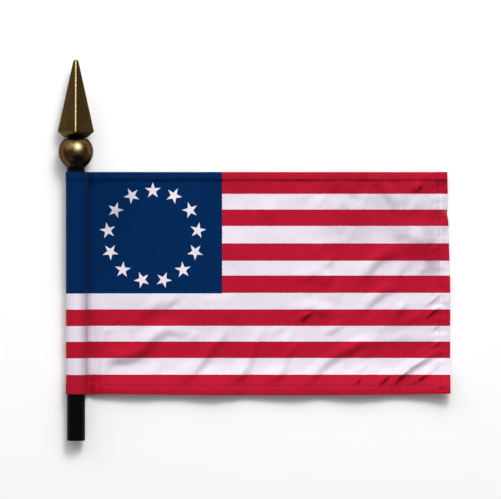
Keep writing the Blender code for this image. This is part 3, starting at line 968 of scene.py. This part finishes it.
def finial_profile(settings):
    """Rings of the finial: socket, lip, ball, groove, spear underside, shoulder, taper, tip.

    Gives distance along the axis, half width, depth and corner rounding of each ring.
    """
    socket = STAFF_RADIUS + SOCKET_ROOM
    lip = SOCKET_LIP
    rings = [(SOCKET_TOP, POLE_RADIUS), (SOCKET_TOP, 2.0), (SOCKET_TOP, socket)]
    rings += [(place, socket) for place in np.linspace(SOCKET_TOP - 0.2, SOCKET_MOUTH, 6)]
    rings += [(SOCKET_MOUTH + 0.05 - lip * math.sin(angle),
               socket + 0.12 + lip * (1 - math.cos(angle)))
              for angle in np.linspace(0.0, math.pi, 7)]
    start = math.asin((rings[-1][1] + 0.02) / BALL_RADIUS)
    rings += [(BALL_CENTRE - BALL_RADIUS * math.cos(angle), BALL_RADIUS * math.sin(angle))
              for angle in np.linspace(start, BALL_END, 56)]
    end, half = rings[-1]
    rings += [(end + further, half - less) for further, less in GROOVE_STEPS]
    rings += [(SPEAR_BASE - 0.08, half - GROOVE_DEPTH)]
    count_round = len(rings)

    rings += [(SPEAR_BASE + place, wide) for place, wide in SPEAR_FOOT]
    under = np.linspace(0.06, 0.94, 6)
    rings += [(SPEAR_BASE + share * (SPEAR_SHOULDER - BEVEL - SPEAR_BASE),
               SPEAR_FOOT_HALF + share * (SPEAR_HALF - BEVEL - SPEAR_FOOT_HALF))
              for share in under]
    rings += [(SPEAR_SHOULDER - BEVEL * (1 - math.sin(angle)),
               SPEAR_HALF - BEVEL * (1 - math.sin(angle)) ** 2)
              for angle in np.linspace(0.3, math.pi / 2, 6)]
    taper = np.linspace(0.01, 1.0, 40)
    rings += [(SPEAR_SHOULDER + share * (TIP_START - SPEAR_SHOULDER),
               SPEAR_HALF + share * (TIP_HALF - SPEAR_HALF)) for share in taper]
    rings += [(TIP_START + (TIP_END - TIP_START) * math.sin(angle), TIP_HALF * math.cos(angle))
              for angle in np.linspace(0.2, math.pi / 2 - 0.02, 9)]
    along, half = np.array(rings).T
    square = np.arange(len(rings)) >= count_round
    depth = np.where(square, half * SPEAR_DEPTH_SHARE, half)
    ridge = np.minimum(settings.ridge_radius / MM, 0.8 * depth)
    rounding = np.where(square, ridge, half)
    return along, half, depth, rounding, square


def set_point_values(obj, name, values):
    """A point attribute with one value for each vertex."""
    attribute = obj.data.attributes.new(name, "FLOAT", "POINT")
    attribute.data.foreach_set("value", values.astype(np.float32).ravel())


def set_wear_and_painted_light(obj, rings, along, square, sides):
    """Two point attributes of the finial.

    The first is high where the finish is lighter: the middle of each of the spear's ridges,
    worn and also a painted highlight, and a bell curve round a painted highlight spot on the
    ball's upper side. The second is high in the groove and on the spear's underside near it,
    partly tarnish and partly painted shade, and in a patch on the ball by the staff, a painted
    dark reflection of the staff.
    """
    # The ridges' middle: worn and also a painted highlight.
    ridge = np.exp(-(side_share(sides) / RIDGE_RUB_AND_HIGHLIGHT_WIDTH) ** 2)
    off_x = rings[..., 0] - AXIS_X
    off_y = rings[..., 1] - BOTTOM_Y - BALL_CENTRE
    above = rings[..., 2] > axis_height(BALL_CENTRE)
    # A painted highlight spot on the ball's upper side, where the key light's highlight falls.
    reach = np.hypot(off_x - SPOT[0], off_y - SPOT[1]) / SPOT_REACH
    spot = SPOT_HIGHLIGHT * above * np.exp(-reach ** 4)
    set_point_values(obj, "rub", np.where(square[:, None], ridge[None, :], spot))

    along = along[:, None]
    # Under the spear: tarnish in the hollow and painted shade.
    under = smooth_step((UNDERSIDE_DARK_TOP - UNDERSIDE_DARK_SLANT * np.abs(off_x) - along) / UNDERSIDE_DARK_SOFTNESS)
    beyond = along > SPEAR_BASE - 1.0
    # On the ball: a painted dark reflection of the staff.
    patch = np.hypot(off_x - PAINTED_REFLECTION_PATCH[0], off_y - PAINTED_REFLECTION_PATCH[1]) / PAINTED_REFLECTION_PATCH_SIZE
    patch = above * (1.0 - smooth_step((patch - REFLECTION_PATCH_CORE) / REFLECTION_PATCH_SOFTNESS))
    set_point_values(obj, "patina", np.where(beyond, under, patch))


def set_pinch_shade(obj, middle):
    """A point attribute for painted shade, high on the shaded side of the sharp pinches."""
    marks = pinch_shade(middle[..., 0] - AXIS_X, middle[..., 1] - BOTTOM_Y).ravel()
    set_point_values(obj, "pinch", np.concatenate((marks, marks)))


class NodeMaker:
    """Short calls that add and link shader nodes in one tree."""

    def __init__(self, tree):
        self.tree = tree

    def add(self, kind, **settings):
        """Add a node and set its properties."""
        node = self.tree.nodes.new(kind)
        for key, value in settings.items():
            setattr(node, key, value)
        return node

    def put(self, socket, value):
        """Link an output to a socket, or set the socket's own value."""
        if isinstance(value, bpy.types.NodeSocket):
            self.tree.links.new(value, socket)
        else:
            socket.default_value = value

    def feed(self, node, **values):
        """Put values on a node's inputs, whose names are written with low lines."""
        for label, value in values.items():
            self.put(node.inputs[label.replace("_", " ")], value)

    def math(self, operation, *values):
        """A Math node's result."""
        node = self.add("ShaderNodeMath", operation=operation)
        for socket, value in zip(node.inputs, values):
            self.put(socket, value)
        return node.outputs[0]

    def plus(self, first, second):
        """A sum."""
        return self.math("ADD", first, second)

    def minus(self, first, second):
        """A difference."""
        return self.math("SUBTRACT", first, second)

    def times(self, first, second):
        """A product."""
        return self.math("MULTIPLY", first, second)

    def less(self, value, share):
        """A value less a share of itself."""
        return self.times(value, self.minus(1.0, share))

    def parts(self, vector):
        """A vector's three parts."""
        node = self.add("ShaderNodeSeparateXYZ")
        self.put(node.inputs[0], vector)
        return node.outputs

    def attribute(self, name):
        """The value of a point attribute."""
        return self.add("ShaderNodeAttribute", attribute_name=name).outputs["Fac"]

    def distance(self, point, place_mm):
        """How far a point is from a place given in millimetres."""
        node = self.add("ShaderNodeVectorMath", operation="DISTANCE")
        self.put(node.inputs[0], point)
        node.inputs[1].default_value = tuple(part * MM for part in place_mm)
        return node.outputs["Value"]

    def mix(self, factor, first, second):
        """A colour between two colours."""
        node = self.add("ShaderNodeMix", data_type="RGBA")
        self.put(node.inputs["Factor"], factor)
        self.put(node.inputs[6], first)
        self.put(node.inputs[7], second)
        return node.outputs[2]

    def ramp(self, value, low, high, to_low=0.0, to_high=1.0):
        """Map a value from one range to another, smoothly and clamped."""
        node = self.add("ShaderNodeMapRange", interpolation_type="SMOOTHSTEP")
        for socket, number in zip(node.inputs, (value, low, high, to_low, to_high)):
            self.put(socket, number)
        return node.outputs[0]

    def noise(self, vector, scale, detail=3.0, roughness=0.5):
        """A noise value between 0 and 1."""
        node = self.add("ShaderNodeTexNoise")
        self.feed(node, Vector=vector, Scale=scale, Detail=detail, Roughness=roughness)
        return node.outputs["Fac"]


def new_group(name, inputs, outputs):
    """A shader node group with named sockets; gives the group, its maker and its ends."""
    group = bpy.data.node_groups.new(name, "ShaderNodeTree")
    for label, kind, default in inputs:
        socket = group.interface.new_socket(label, in_out="INPUT", socket_type=kind)
        if default is not None:
            socket.default_value = default
    for label, kind in outputs:
        group.interface.new_socket(label, in_out="OUTPUT", socket_type=kind)
    maker = NodeMaker(group)
    return group, maker, maker.add("NodeGroupInput"), maker.add("NodeGroupOutput")


def wrapped_angle(maker, angle, sector):
    """The angle in its own sector, measured from the sector's middle."""
    shifted = maker.plus(angle, sector / 2)
    return maker.minus(maker.math("FLOORED_MODULO", shifted, sector), sector / 2)


def plane_length(maker, x, y):
    """Square root of x squared plus y squared."""
    return maker.math("SQRT", maker.plus(maker.times(x, x), maker.times(y, y)))


def star_mask(maker, x, y):
    """1 inside a ring of five-pointed stars, each with a point outwards.

    The angle round the ring is wrapped to one star's sector, the angle round that star to
    one of its points, and what is inside the straight edge from point to hollow counts.
    """
    from_x = maker.minus(x, RING_CENTRE[0])
    from_y = maker.minus(y, RING_CENTRE[1])
    radius = plane_length(maker, from_x, from_y)
    angle = maker.minus(maker.math("ARCTAN2", from_y, from_x), math.pi / 2)
    angle = wrapped_angle(maker, angle, 2 * math.pi / STAR_COUNT)
    star_x = maker.minus(maker.times(radius, maker.math("COSINE", angle)), RING_RADIUS)
    star_y = maker.times(radius, maker.math("SINE", angle))
    reach = plane_length(maker, star_x, star_y)
    turn = maker.math("ABSOLUTE", wrapped_angle(
        maker, maker.math("ARCTAN2", star_y, star_x), 2 * math.pi / 5))
    inner = STAR_RADIUS * STAR_INNER_SHARE
    edge_x = inner * math.cos(math.pi / 5) - STAR_RADIUS
    edge_y = inner * math.sin(math.pi / 5)
    length = math.hypot(edge_x, edge_y)
    point_x = maker.minus(maker.times(reach, maker.math("COSINE", turn)), STAR_RADIUS)
    point_y = maker.times(reach, maker.math("SINE", turn))
    outside = maker.plus(maker.times(point_x, edge_y / length),
                         maker.times(point_y, -edge_x / length))
    return maker.ramp(outside, PRINT_SOFTNESS, -PRINT_SOFTNESS)


def stripe_mask(maker, y):
    """1 in the red stripes: a ramp with one hard step at each edge of a stripe."""
    node = maker.add("ShaderNodeValToRGB")
    ramp = node.color_ramp
    ramp.interpolation = "CONSTANT"
    edges = np.concatenate(([0.0], np.cumsum(STRIPES)[:-1])) / sum(STRIPES)
    while len(ramp.elements) < len(edges):
        ramp.elements.new(0.5)
    for number, (element, edge) in enumerate(zip(ramp.elements, edges)):
        element.position = edge
        shade = 1.0 - number % 2
        element.color = (shade, shade, shade, 1.0)
    maker.put(node.inputs[0], maker.math("DIVIDE", y, sum(STRIPES)))
    return node.outputs[0]


def flag_print_group():
    """Node group: the printed design by place in the object's own space."""
    group, maker, start, end = new_group(
        "flag_print",
        (("Point", "NodeSocketVector", None), ("Red", "NodeSocketColor", None),
         ("White", "NodeSocketColor", None), ("Navy", "NodeSocketColor", None)),
        (("Color", "NodeSocketColor"), ("Inked", "NodeSocketFloat")))
    parts = maker.parts(start.outputs["Point"])
    x = maker.minus(maker.times(parts[0], 1 / MM), AXIS_X)
    y = maker.minus(maker.times(parts[1], 1 / MM), BOTTOM_Y)
    bleed = maker.noise(start.outputs["Point"], 900.0, 2.0)
    bleed = maker.times(maker.minus(bleed, 0.5), 0.22)
    x, y = maker.plus(x, bleed), maker.plus(y, bleed)
    red = stripe_mask(maker, y)
    inside_x = maker.math("LESS_THAN", x, CANTON_WIDTH)
    inside_y = maker.math("GREATER_THAN", y, CANTON_FROM)
    canton = maker.times(inside_x, inside_y)
    stars = star_mask(maker, x, y)
    stripes = maker.mix(red, start.outputs["White"], start.outputs["Red"])
    field = maker.mix(stars, start.outputs["Navy"], start.outputs["White"])
    maker.put(end.inputs["Color"], maker.mix(canton, stripes, field))
    inked_field = maker.minus(1.0, stars)
    inked = maker.plus(maker.times(canton, inked_field),
                       maker.times(maker.minus(1.0, canton), red))
    maker.put(end.inputs["Inked"], inked)
    return group


def greyed_group():
    """Node group: a value a little under 1 in soft patches of the cloth."""
    group, maker, start, end = new_group(
        "greyed_patches", (("Point", "NodeSocketVector", None),), (("Value", "NodeSocketFloat"),))
    value = None
    for x, y, reach, depth in GREYED:
        away = maker.distance(start.outputs["Point"], (AXIS_X + x, BOTTOM_Y + y, 0.0))
        tone = maker.ramp(away, 0.1 * reach * MM, reach * MM, 1 - depth, 1.0)
        value = tone if value is None else maker.times(value, tone)
    cloud = maker.noise(start.outputs["Point"], 110.0, 4.0, 0.55)
    worn = maker.minus(1.0, value)
    worn = maker.times(worn, maker.ramp(cloud, 0.3, 0.62, 0.25, 1.25))
    maker.put(end.inputs["Value"], maker.minus(1.0, worn))
    return group


def weave_group():
    """Node group: plain weave from the cut's own map; over and under by the product of two
    sines, threads by their absolute values, a few thicker threads by noise."""
    group, maker, start, end = new_group(
        "plain_weave", (("Map", "NodeSocketVector", None), ("Threads", "NodeSocketFloat", 500.0)),
        (("Height", "NodeSocketFloat"), ("Slub", "NodeSocketFloat")))
    parts = maker.parts(start.outputs["Map"])
    waves = []
    slubs = []
    for axis in (0, 1):
        place = maker.times(parts[axis], start.outputs["Threads"])
        waves.append(maker.math("SINE", maker.times(place, math.pi)))
        line = maker.add("ShaderNodeCombineXYZ")
        maker.put(line.inputs[axis], maker.times(place, 0.9))
        maker.put(line.inputs[1 - axis], maker.times(parts[1 - axis], 9.0))
        slubs.append(maker.noise(line.outputs[0], 1.0, 1.0))
    crossing = maker.times(waves[0], waves[1])
    threads = maker.plus(maker.math("ABSOLUTE", waves[0]), maker.math("ABSOLUTE", waves[1]))
    slub = maker.times(maker.plus(slubs[0], slubs[1]), 0.5)
    height = maker.plus(maker.times(crossing, 0.5), maker.times(threads, 0.3))
    maker.put(end.inputs["Height"], maker.plus(height, slub))
    maker.put(end.inputs["Slub"], slub)
    return group


def fine_mottle_group():
    """Node group: soft uneven value at two sizes, for print, paint and brass."""
    group, maker, start, end = new_group(
        "fine_mottle", (("Point", "NodeSocketVector", None), ("Coarse", "NodeSocketFloat", 60.0),
                        ("Fine", "NodeSocketFloat", 900.0)),
        (("Coarse", "NodeSocketFloat"), ("Fine", "NodeSocketFloat")))
    for label, detail in (("Coarse", 3.0), ("Fine", 4.0)):
        maker.put(end.inputs[label], maker.noise(start.outputs["Point"], start.outputs[label],
                                                 detail))
    return group


def group_node(maker, name, build):
    """A node that holds the named group, which is built the first time it is asked for."""
    group = bpy.data.node_groups.get(name) or build()
    return maker.add("ShaderNodeGroup", node_tree=group)


def new_material(name, **sockets):
    """A Principled material with the given values on its sockets; gives the material, its
    maker, its shader and the place in the object's own space."""
    material = bpy.data.materials.new(name)
    material.use_nodes = True
    maker = NodeMaker(material.node_tree)
    shader = material.node_tree.nodes["Principled BSDF"]
    maker.feed(shader, **sockets)
    return material, maker, shader, maker.add("ShaderNodeTexCoord").outputs["Object"]


def bump(maker, height, distance, strength, normal=None):
    """A Bump node's normal; distance in metres."""
    node = maker.add("ShaderNodeBump")
    maker.feed(node, Height=height, Distance=distance, Strength=strength)
    if normal is not None:
        maker.put(node.inputs["Normal"], normal)
    return node.outputs[0]


def printed_colour(maker, point, settings):
    """The design in the settings' colours; gives the colour and the inked mask."""
    node = group_node(maker, "flag_print", flag_print_group)
    maker.feed(node, Point=point, Red=(*settings.red, 1.0), White=(*settings.white, 1.0),
               Navy=(*settings.navy, 1.0))
    return node.outputs["Color"], node.outputs["Inked"]


def mottle(maker, point, coarse, fine):
    """The mottle group's two values at the given sizes."""
    node = group_node(maker, "fine_mottle", fine_mottle_group)
    maker.feed(node, Point=point, Coarse=coarse, Fine=fine)
    return node.outputs["Coarse"], node.outputs["Fine"]


def scaled_colour(maker, colour, factor):
    """The colour times a value."""
    node = maker.add("ShaderNodeVectorMath", operation="SCALE")
    maker.put(node.inputs[0], colour)
    maker.put(node.inputs["Scale"], factor)
    return node.outputs[0]


def print_wear_and_pinch_shade(maker, point, inked, mottles, slub):
    """A value near 1 for the print: uneven ink and threads, darker patches that show least
    on ink, and painted shade on the shaded side of the pinches."""
    coarse, fine = mottles
    value = maker.ramp(coarse, 0.25, 0.75, 0.955, 1.03)
    value = maker.times(value, maker.ramp(fine, 0.3, 0.7, 0.975, 1.02))
    value = maker.times(value, maker.ramp(slub, 0.3, 0.7, 0.97, 1.03))
    greyed = group_node(maker, "greyed_patches", greyed_group)
    maker.put(greyed.inputs["Point"], point)
    lost = maker.minus(1.0, greyed.outputs["Value"])
    value = maker.less(value, maker.less(lost, maker.times(inked, INK_HIDES_PATCH)))
    # Painted shade on the shaded side of each pinch.
    pinch_shade_depth = maker.plus(PINCH_SHADE_DEPTH, maker.times(inked, PINCH_SHADE_INK_DEPTH))
    return maker.less(value, maker.times(maker.attribute("pinch"), pinch_shade_depth))


def seam_line(maker, place, middle, line):
    """A seam's line of painted highlight or painted shade: its strength within the inner half
    width of its middle, 0 beyond the outer one."""
    shift, inner, outer, strength = line
    beside = maker.math("ABSOLUTE", maker.minus(place, (middle + shift) * MM))
    return maker.ramp(beside, outer * MM, inner * MM, 0.0, strength)


def seam_shade_and_highlight(maker, point, inked, coarse):
    """A value that falls towards the sleeve's seam, painted shade in the valley by the sleeve,
    and rises in a thin line at the fly hem, a painted highlight, both mostly where there is
    no ink, and dips along the top hem's stitches, painted shade."""
    parts = maker.parts(point)
    bare = maker.minus(1.0, maker.times(inked, INK_HIDES_SEAM_LIGHT))
    grey = [(AXIS_X + SEAM_X - SEAM_SHADE_LINE_INSET + place) * MM for place in SEAM_SHADE_PLACES]
    # Painted shade beside the sleeve's seam, where the valley by the sleeve lies.
    seam_shade = maker.times(maker.ramp(parts[0], grey[0], grey[1], 0.0, SEAM_SHADE_DEPTH),
                       maker.ramp(parts[0], grey[2], grey[3], 1.0, 0.0))
    value = maker.minus(1.0, maker.times(seam_shade, bare))
    fly = AXIS_X + FLY_REACH - FLY_HEM + STITCH_INSET
    # Painted highlight in a thin line beside the fly hem's stitches.
    bright = maker.times(seam_line(maker, parts[0], fly, FLY_HIGHLIGHT), bare)
    value = maker.times(value, maker.plus(1.0, bright))
    top = BOTTOM_Y + FLAG_HEIGHT - TOP_HEM + STITCH_INSET
    # Painted shade along the top hem's stitches.
    top_seam_shade = maker.times(seam_line(maker, parts[1], top, TOP_SEAM_SHADE),
                       maker.ramp(coarse, 0.3, 0.6, 0.4, 1.0))
    return maker.less(value, top_seam_shade)


def cloth_material(settings, cut_width):
    """Printed polyester: design, uneven ink, darker patches, painted shade in the pinches and by
    the seams, a painted highlight by the fly hem, slight stain by the top of the fly, weave.
    """
    material, maker, shader, point = new_material(
        "printed_polyester", Specular_IOR_Level=0.02, Sheen_Weight=0.01, Sheen_Roughness=0.45)
    colour, inked = printed_colour(maker, point, settings)
    coarse, fine = mottle(maker, point, 70.0, 1400.0)

    weave = group_node(maker, "plain_weave", weave_group)
    cut_map = maker.add("ShaderNodeUVMap", uv_map="flat_cut").outputs[0]
    maker.feed(weave, Map=cut_map, Threads=cut_width / (settings.thread_pitch / MM))

    worn = print_wear_and_pinch_shade(maker, point, inked, (coarse, fine), weave.outputs["Slub"])
    worn = maker.times(worn, seam_shade_and_highlight(maker, point, inked, coarse))
    colour = scaled_colour(maker, colour, worn)
    away = maker.distance(point, (AXIS_X + FLY_REACH, BOTTOM_Y + STAIN_HEIGHT, 0.0))
    near = maker.ramp(away, STAIN_REACH * MM, STAIN_CORE * MM)
    stain = maker.times(near, maker.ramp(fine, 0.3, 0.8, 0.02, 0.32))
    colour = maker.mix(stain, colour, STAIN_COLOUR)

    rough = maker.plus(0.56, maker.times(fine, 0.14))
    rough = maker.minus(rough, maker.times(inked, 0.05))
    wrinkle = maker.noise(point, 210.0, 3.0, 0.55)
    normal = bump(maker, wrinkle, 0.35 * MM, 0.6)
    normal = bump(maker, weave.outputs["Height"], 0.04 * MM, 0.6, normal)
    maker.feed(shader, Base_Color=colour, Roughness=rough, Normal=normal)
    return material


def thread_material(settings):
    """Sewing thread that takes the colour of the ground it lies on, darker, and twisted; on
    ink near the top hem it is darker still, painted shade."""
    material, maker, shader, point = new_material(
        "sewing_thread", Roughness=0.5, Specular_IOR_Level=0.08)
    colour, inked = printed_colour(maker, point, settings)
    _, fine = mottle(maker, point, 200.0, 3000.0)
    top = (BOTTOM_Y + FLAG_HEIGHT) * MM
    # Painted shade: on ink the thread is darker near the top hem.
    top_hem_shade = maker.ramp(maker.parts(point)[1], top - 7.0 * MM, top - 5.0 * MM, 0.22, 0.72)
    darker = maker.minus(maker.ramp(fine, 0.2, 0.8, 0.68, 0.88), maker.times(inked, top_hem_shade))
    twist = maker.add("ShaderNodeTexWave", wave_type="BANDS", bands_direction="DIAGONAL")
    maker.feed(twist, Vector=point, Scale=1500.0, Distortion=1.0)
    maker.feed(shader, Base_Color=scaled_colour(maker, colour, darker),
               Normal=bump(maker, twist.outputs["Fac"], 0.03 * MM, 0.5))
    return material


def paint_material(settings):
    """Satin black paint on a wooden dowel: faint grain, brush unevenness, rubbed spots."""
    material, maker, shader, point = new_material("black_staff_paint", Specular_IOR_Level=0.05)
    stretch = maker.add("ShaderNodeMapping")
    maker.feed(stretch, Vector=point, Scale=(1.0, 0.05, 1.0))
    grain = maker.noise(stretch.outputs[0], 2600.0, 4.0, 0.6)
    coarse, fine = mottle(maker, point, 120.0, 1500.0)
    worn = maker.times(maker.ramp(coarse, 0.6, 0.78), maker.ramp(fine, 0.5, 0.7))
    dusty = tuple(DUST_GAIN * value for value in settings.paint)
    normal = bump(maker, grain, 0.05 * MM, 0.35)
    maker.feed(shader, Base_Color=maker.mix(worn, (*settings.paint, 1.0), (*dusty, 1.0)),
               Roughness=maker.ramp(fine, 0.2, 0.8, 0.3, 0.46),
               Normal=bump(maker, coarse, 0.3 * MM, 0.2, normal))
    return material


def brass_material(settings):
    """Dark antique brass under lacquer: lighter on worn ridges that also carry a painted
    highlight and on a painted highlight spot on the ball, black in painted shade and tarnish
    under the spear and in a painted dark reflection on the ball, mottled in the flats, with
    small casting pits."""
    material, maker, shader, point = new_material(
        "antique_brass", Metallic=1.0, Specular_Tint=(0.3, 0.2, 0.1, 1.0), Coat_Weight=0.22,
        Coat_Roughness=0.2)
    coarse, fine = mottle(maker, point, 180.0, 1300.0)
    # Lighter brass: worn ridges with painted highlight, and a painted highlight spot on the ball.
    mask = maker.times(maker.attribute("rub"), maker.ramp(fine, 0.25, 0.6, 0.75, 1.0))
    dark = scaled_colour(maker, tuple(settings.brass), maker.ramp(coarse, 0.25, 0.75, 0.85, 1.15))
    colour = maker.mix(mask, dark, (*settings.rubbed, 1.0))
    # Black: tarnish and painted shade under the spear, and a painted dark reflection on the ball.
    patina = maker.times(maker.attribute("patina"), maker.ramp(coarse, 0.3, 0.5, 0.8, 1.0))
    colour = maker.mix(patina, colour, (*settings.patina, 1.0))
    normal = bump(maker, coarse, 0.12 * MM, 0.25)
    maker.feed(shader, Base_Color=colour, Roughness=maker.ramp(fine, 0.25, 0.75, 0.2, 0.32),
               Normal=bump(maker, fine, 0.03 * MM, 0.1, normal))
    return material


def floor_material(settings):
    """Plain pale floor with a barely uneven, matt surface."""
    material, maker, shader, point = new_material(
        "pale_floor", Roughness=0.75, Specular_IOR_Level=0.1)
    tone = maker.ramp(maker.noise(point, 30.0, 3.0), 0.3, 0.7, 0.995, 1.0)
    maker.feed(shader, Base_Color=scaled_colour(maker, tuple(settings.floor), tone))
    return material


class FLAG_OT_cloth(Operator):
    """Add the sewn cloth: sleeve, creased panel and turned hems in one sheet."""

    bl_idname = "stick_flag.add_cloth"
    bl_label = "Add Cloth"

    def execute(self, context):
        settings = context.scene.flag_cloth_settings
        middle = cloth_middle(settings)
        across, along = cut_coordinates(middle)
        points, faces = closed_sheet(middle, settings.thickness / MM)
        material = cloth_material(settings, across[-1])
        cloth = make_mesh_object("sewn_cloth", points, faces, material)
        set_cut_map(cloth, across, along)
        # Painted shade on the shaded side of the pinches.
        set_pinch_shade(cloth, middle)
        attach(cloth, "root")
        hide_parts("flag_cloth")
        return {"FINISHED"}


class FLAG_OT_stitches(Operator):
    """Add the stitches of the hems and of the sleeve."""

    bl_idname = "stick_flag.add_stitches"
    bl_label = "Add Stitches"

    def execute(self, context):
        scene = context.scene
        points = stitch_tubes(scene.flag_cloth_settings, scene.flag_thread_settings)
        faces = tube_faces(len(points), STITCH_RINGS, STITCH_SIDES)
        material = thread_material(scene.flag_cloth_settings)
        stitches = make_mesh_object("stitches", points.reshape(-1, 3), faces, material)
        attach(stitches, "root")
        return {"FINISHED"}


class FLAG_OT_staff(Operator):
    """Add the painted staff."""

    bl_idname = "stick_flag.add_staff"
    bl_label = "Add Staff"

    def execute(self, context):
        settings = context.scene.flag_staff_settings
        along, radius = staff_profile(settings)
        rings = turned_rings(along, radius, radius, radius, STAFF_SIDES)
        faces = tube_faces(1, len(along), STAFF_SIDES)
        material = paint_material(settings)
        staff = make_mesh_object("painted_staff", rings.reshape(-1, 3), faces, material)
        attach(staff, "root")
        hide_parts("staff")
        return {"FINISHED"}


class FLAG_OT_finial(Operator):
    """Add the ball-and-spear finial."""

    bl_idname = "stick_flag.add_finial"
    bl_label = "Add Finial"

    def execute(self, context):
        settings = context.scene.flag_finial_settings
        along, half, depth, rounding, square = finial_profile(settings)
        rings = turned_rings(along, half, depth, rounding, FINIAL_SIDES)
        faces = tube_faces(1, len(along), FINIAL_SIDES)
        material = brass_material(settings)
        finial = make_mesh_object("brass_finial", rings.reshape(-1, 3), faces, material)
        # Painted highlight, painted shade and painted dark reflection of the finial, with wear
        # and tarnish.
        set_wear_and_painted_light(finial, rings, along, square, FINIAL_SIDES)
        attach(finial, "root")
        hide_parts("spear_finial")
        return {"FINISHED"}


def add_disc_light(name, place, target, size, power):
    """A round soft light in place that looks at target."""
    light = bpy.data.lights.new(name, "AREA")
    light.shape = "DISK"
    light.size = size
    light.energy = power
    obj = bpy.data.objects.new(name, light)
    obj.location = place
    obj.rotation_euler = (Vector(target) - Vector(place)).to_track_quat("-Z", "Y").to_euler()
    obj.visible_camera = False
    bpy.context.collection.objects.link(obj)


class FLAG_OT_stage(Operator):
    """Add the floor, the studio lights and the camera over the flag."""

    bl_idname = "stick_flag.add_stage"
    bl_label = "Add Stage"

    def execute(self, context):
        settings = context.scene.flag_stage_settings
        corners = FLOOR_HALF * np.array(((-1, -1, 0), (1, -1, 0), (1, 1, 0), (-1, 1, 0)))
        floor = make_mesh_object("floor", corners, np.array(((0, 1, 2, 3),)),
                                 floor_material(settings))

        world = bpy.data.worlds.new("studio")
        world.use_nodes = True
        background = world.node_tree.nodes["Background"]
        background.inputs["Color"].default_value = (1.0, 1.0, 1.0, 1.0)
        background.inputs["Strength"].default_value = settings.sky
        context.scene.world = world

        for name, place, target, size, power in LIGHTS:
            add_disc_light(name, place, target, size, getattr(settings, power))

        camera_data = bpy.data.cameras.new("camera")
        camera_data.sensor_width = SENSOR
        camera_data.lens = SENSOR * CAMERA_HEIGHT / (PHOTO_WIDTH_PX * PHOTO_SCALE)
        camera_data.clip_start = 0.1
        camera_data.clip_end = 10.0
        camera = bpy.data.objects.new("camera", camera_data)
        camera.location = (CAMERA_X * MM, CAMERA_Y * MM, CAMERA_HEIGHT * MM)
        bpy.context.collection.objects.link(camera)
        context.scene.camera = camera
        context.scene.view_settings.view_transform = "Standard"
        return {"FINISHED"}


class FLAG_PT_panel(Panel):
    """Lists the flag's pieces and their settings."""

    bl_label = "Stick Flag"
    bl_idname = "FLAG_PT_panel"
    bl_space_type = "VIEW_3D"
    bl_region_type = "UI"
    bl_category = "Stick Flag"

    def draw(self, context):
        for operator, holder in PIECES:
            box = self.layout.box()
            box.operator(operator.bl_idname)
            settings = getattr(context.scene, holder)
            for name in settings.__annotations__:
                box.prop(settings, name)


PIECES = (
    (FLAG_OT_stage, "flag_stage_settings"),
    (FLAG_OT_stitches, "flag_thread_settings"),
    (FLAG_OT_cloth, "flag_cloth_settings"),
    (FLAG_OT_staff, "flag_staff_settings"),
    (FLAG_OT_finial, "flag_finial_settings"),
)
SETTINGS = {
    "flag_stage_settings": StageSettings,
    "flag_cloth_settings": ClothSettings,
    "flag_thread_settings": ThreadSettings,
    "flag_staff_settings": StaffSettings,
    "flag_finial_settings": FinialSettings,
}


def register():
    """Register the settings, the operators and the panel."""
    for name, group in SETTINGS.items():
        bpy.utils.register_class(group)
        setattr(bpy.types.Scene, name, PointerProperty(type=group))
    for operator, _ in PIECES:
        bpy.utils.register_class(operator)
    bpy.utils.register_class(FLAG_PT_panel)


def unregister():
    """Take the panel, the operators and the settings away again."""
    bpy.utils.unregister_class(FLAG_PT_panel)
    for operator, _ in reversed(PIECES):
        bpy.utils.unregister_class(operator)
    for name, group in reversed(SETTINGS.items()):
        delattr(bpy.types.Scene, name)
        bpy.utils.unregister_class(group)


def main():
    """Make every piece."""
    register()
    for operator, _ in PIECES:
        group, name = operator.bl_idname.split(".")
        getattr(getattr(bpy.ops, group), name)()


if __name__ == "__main__":
    main()
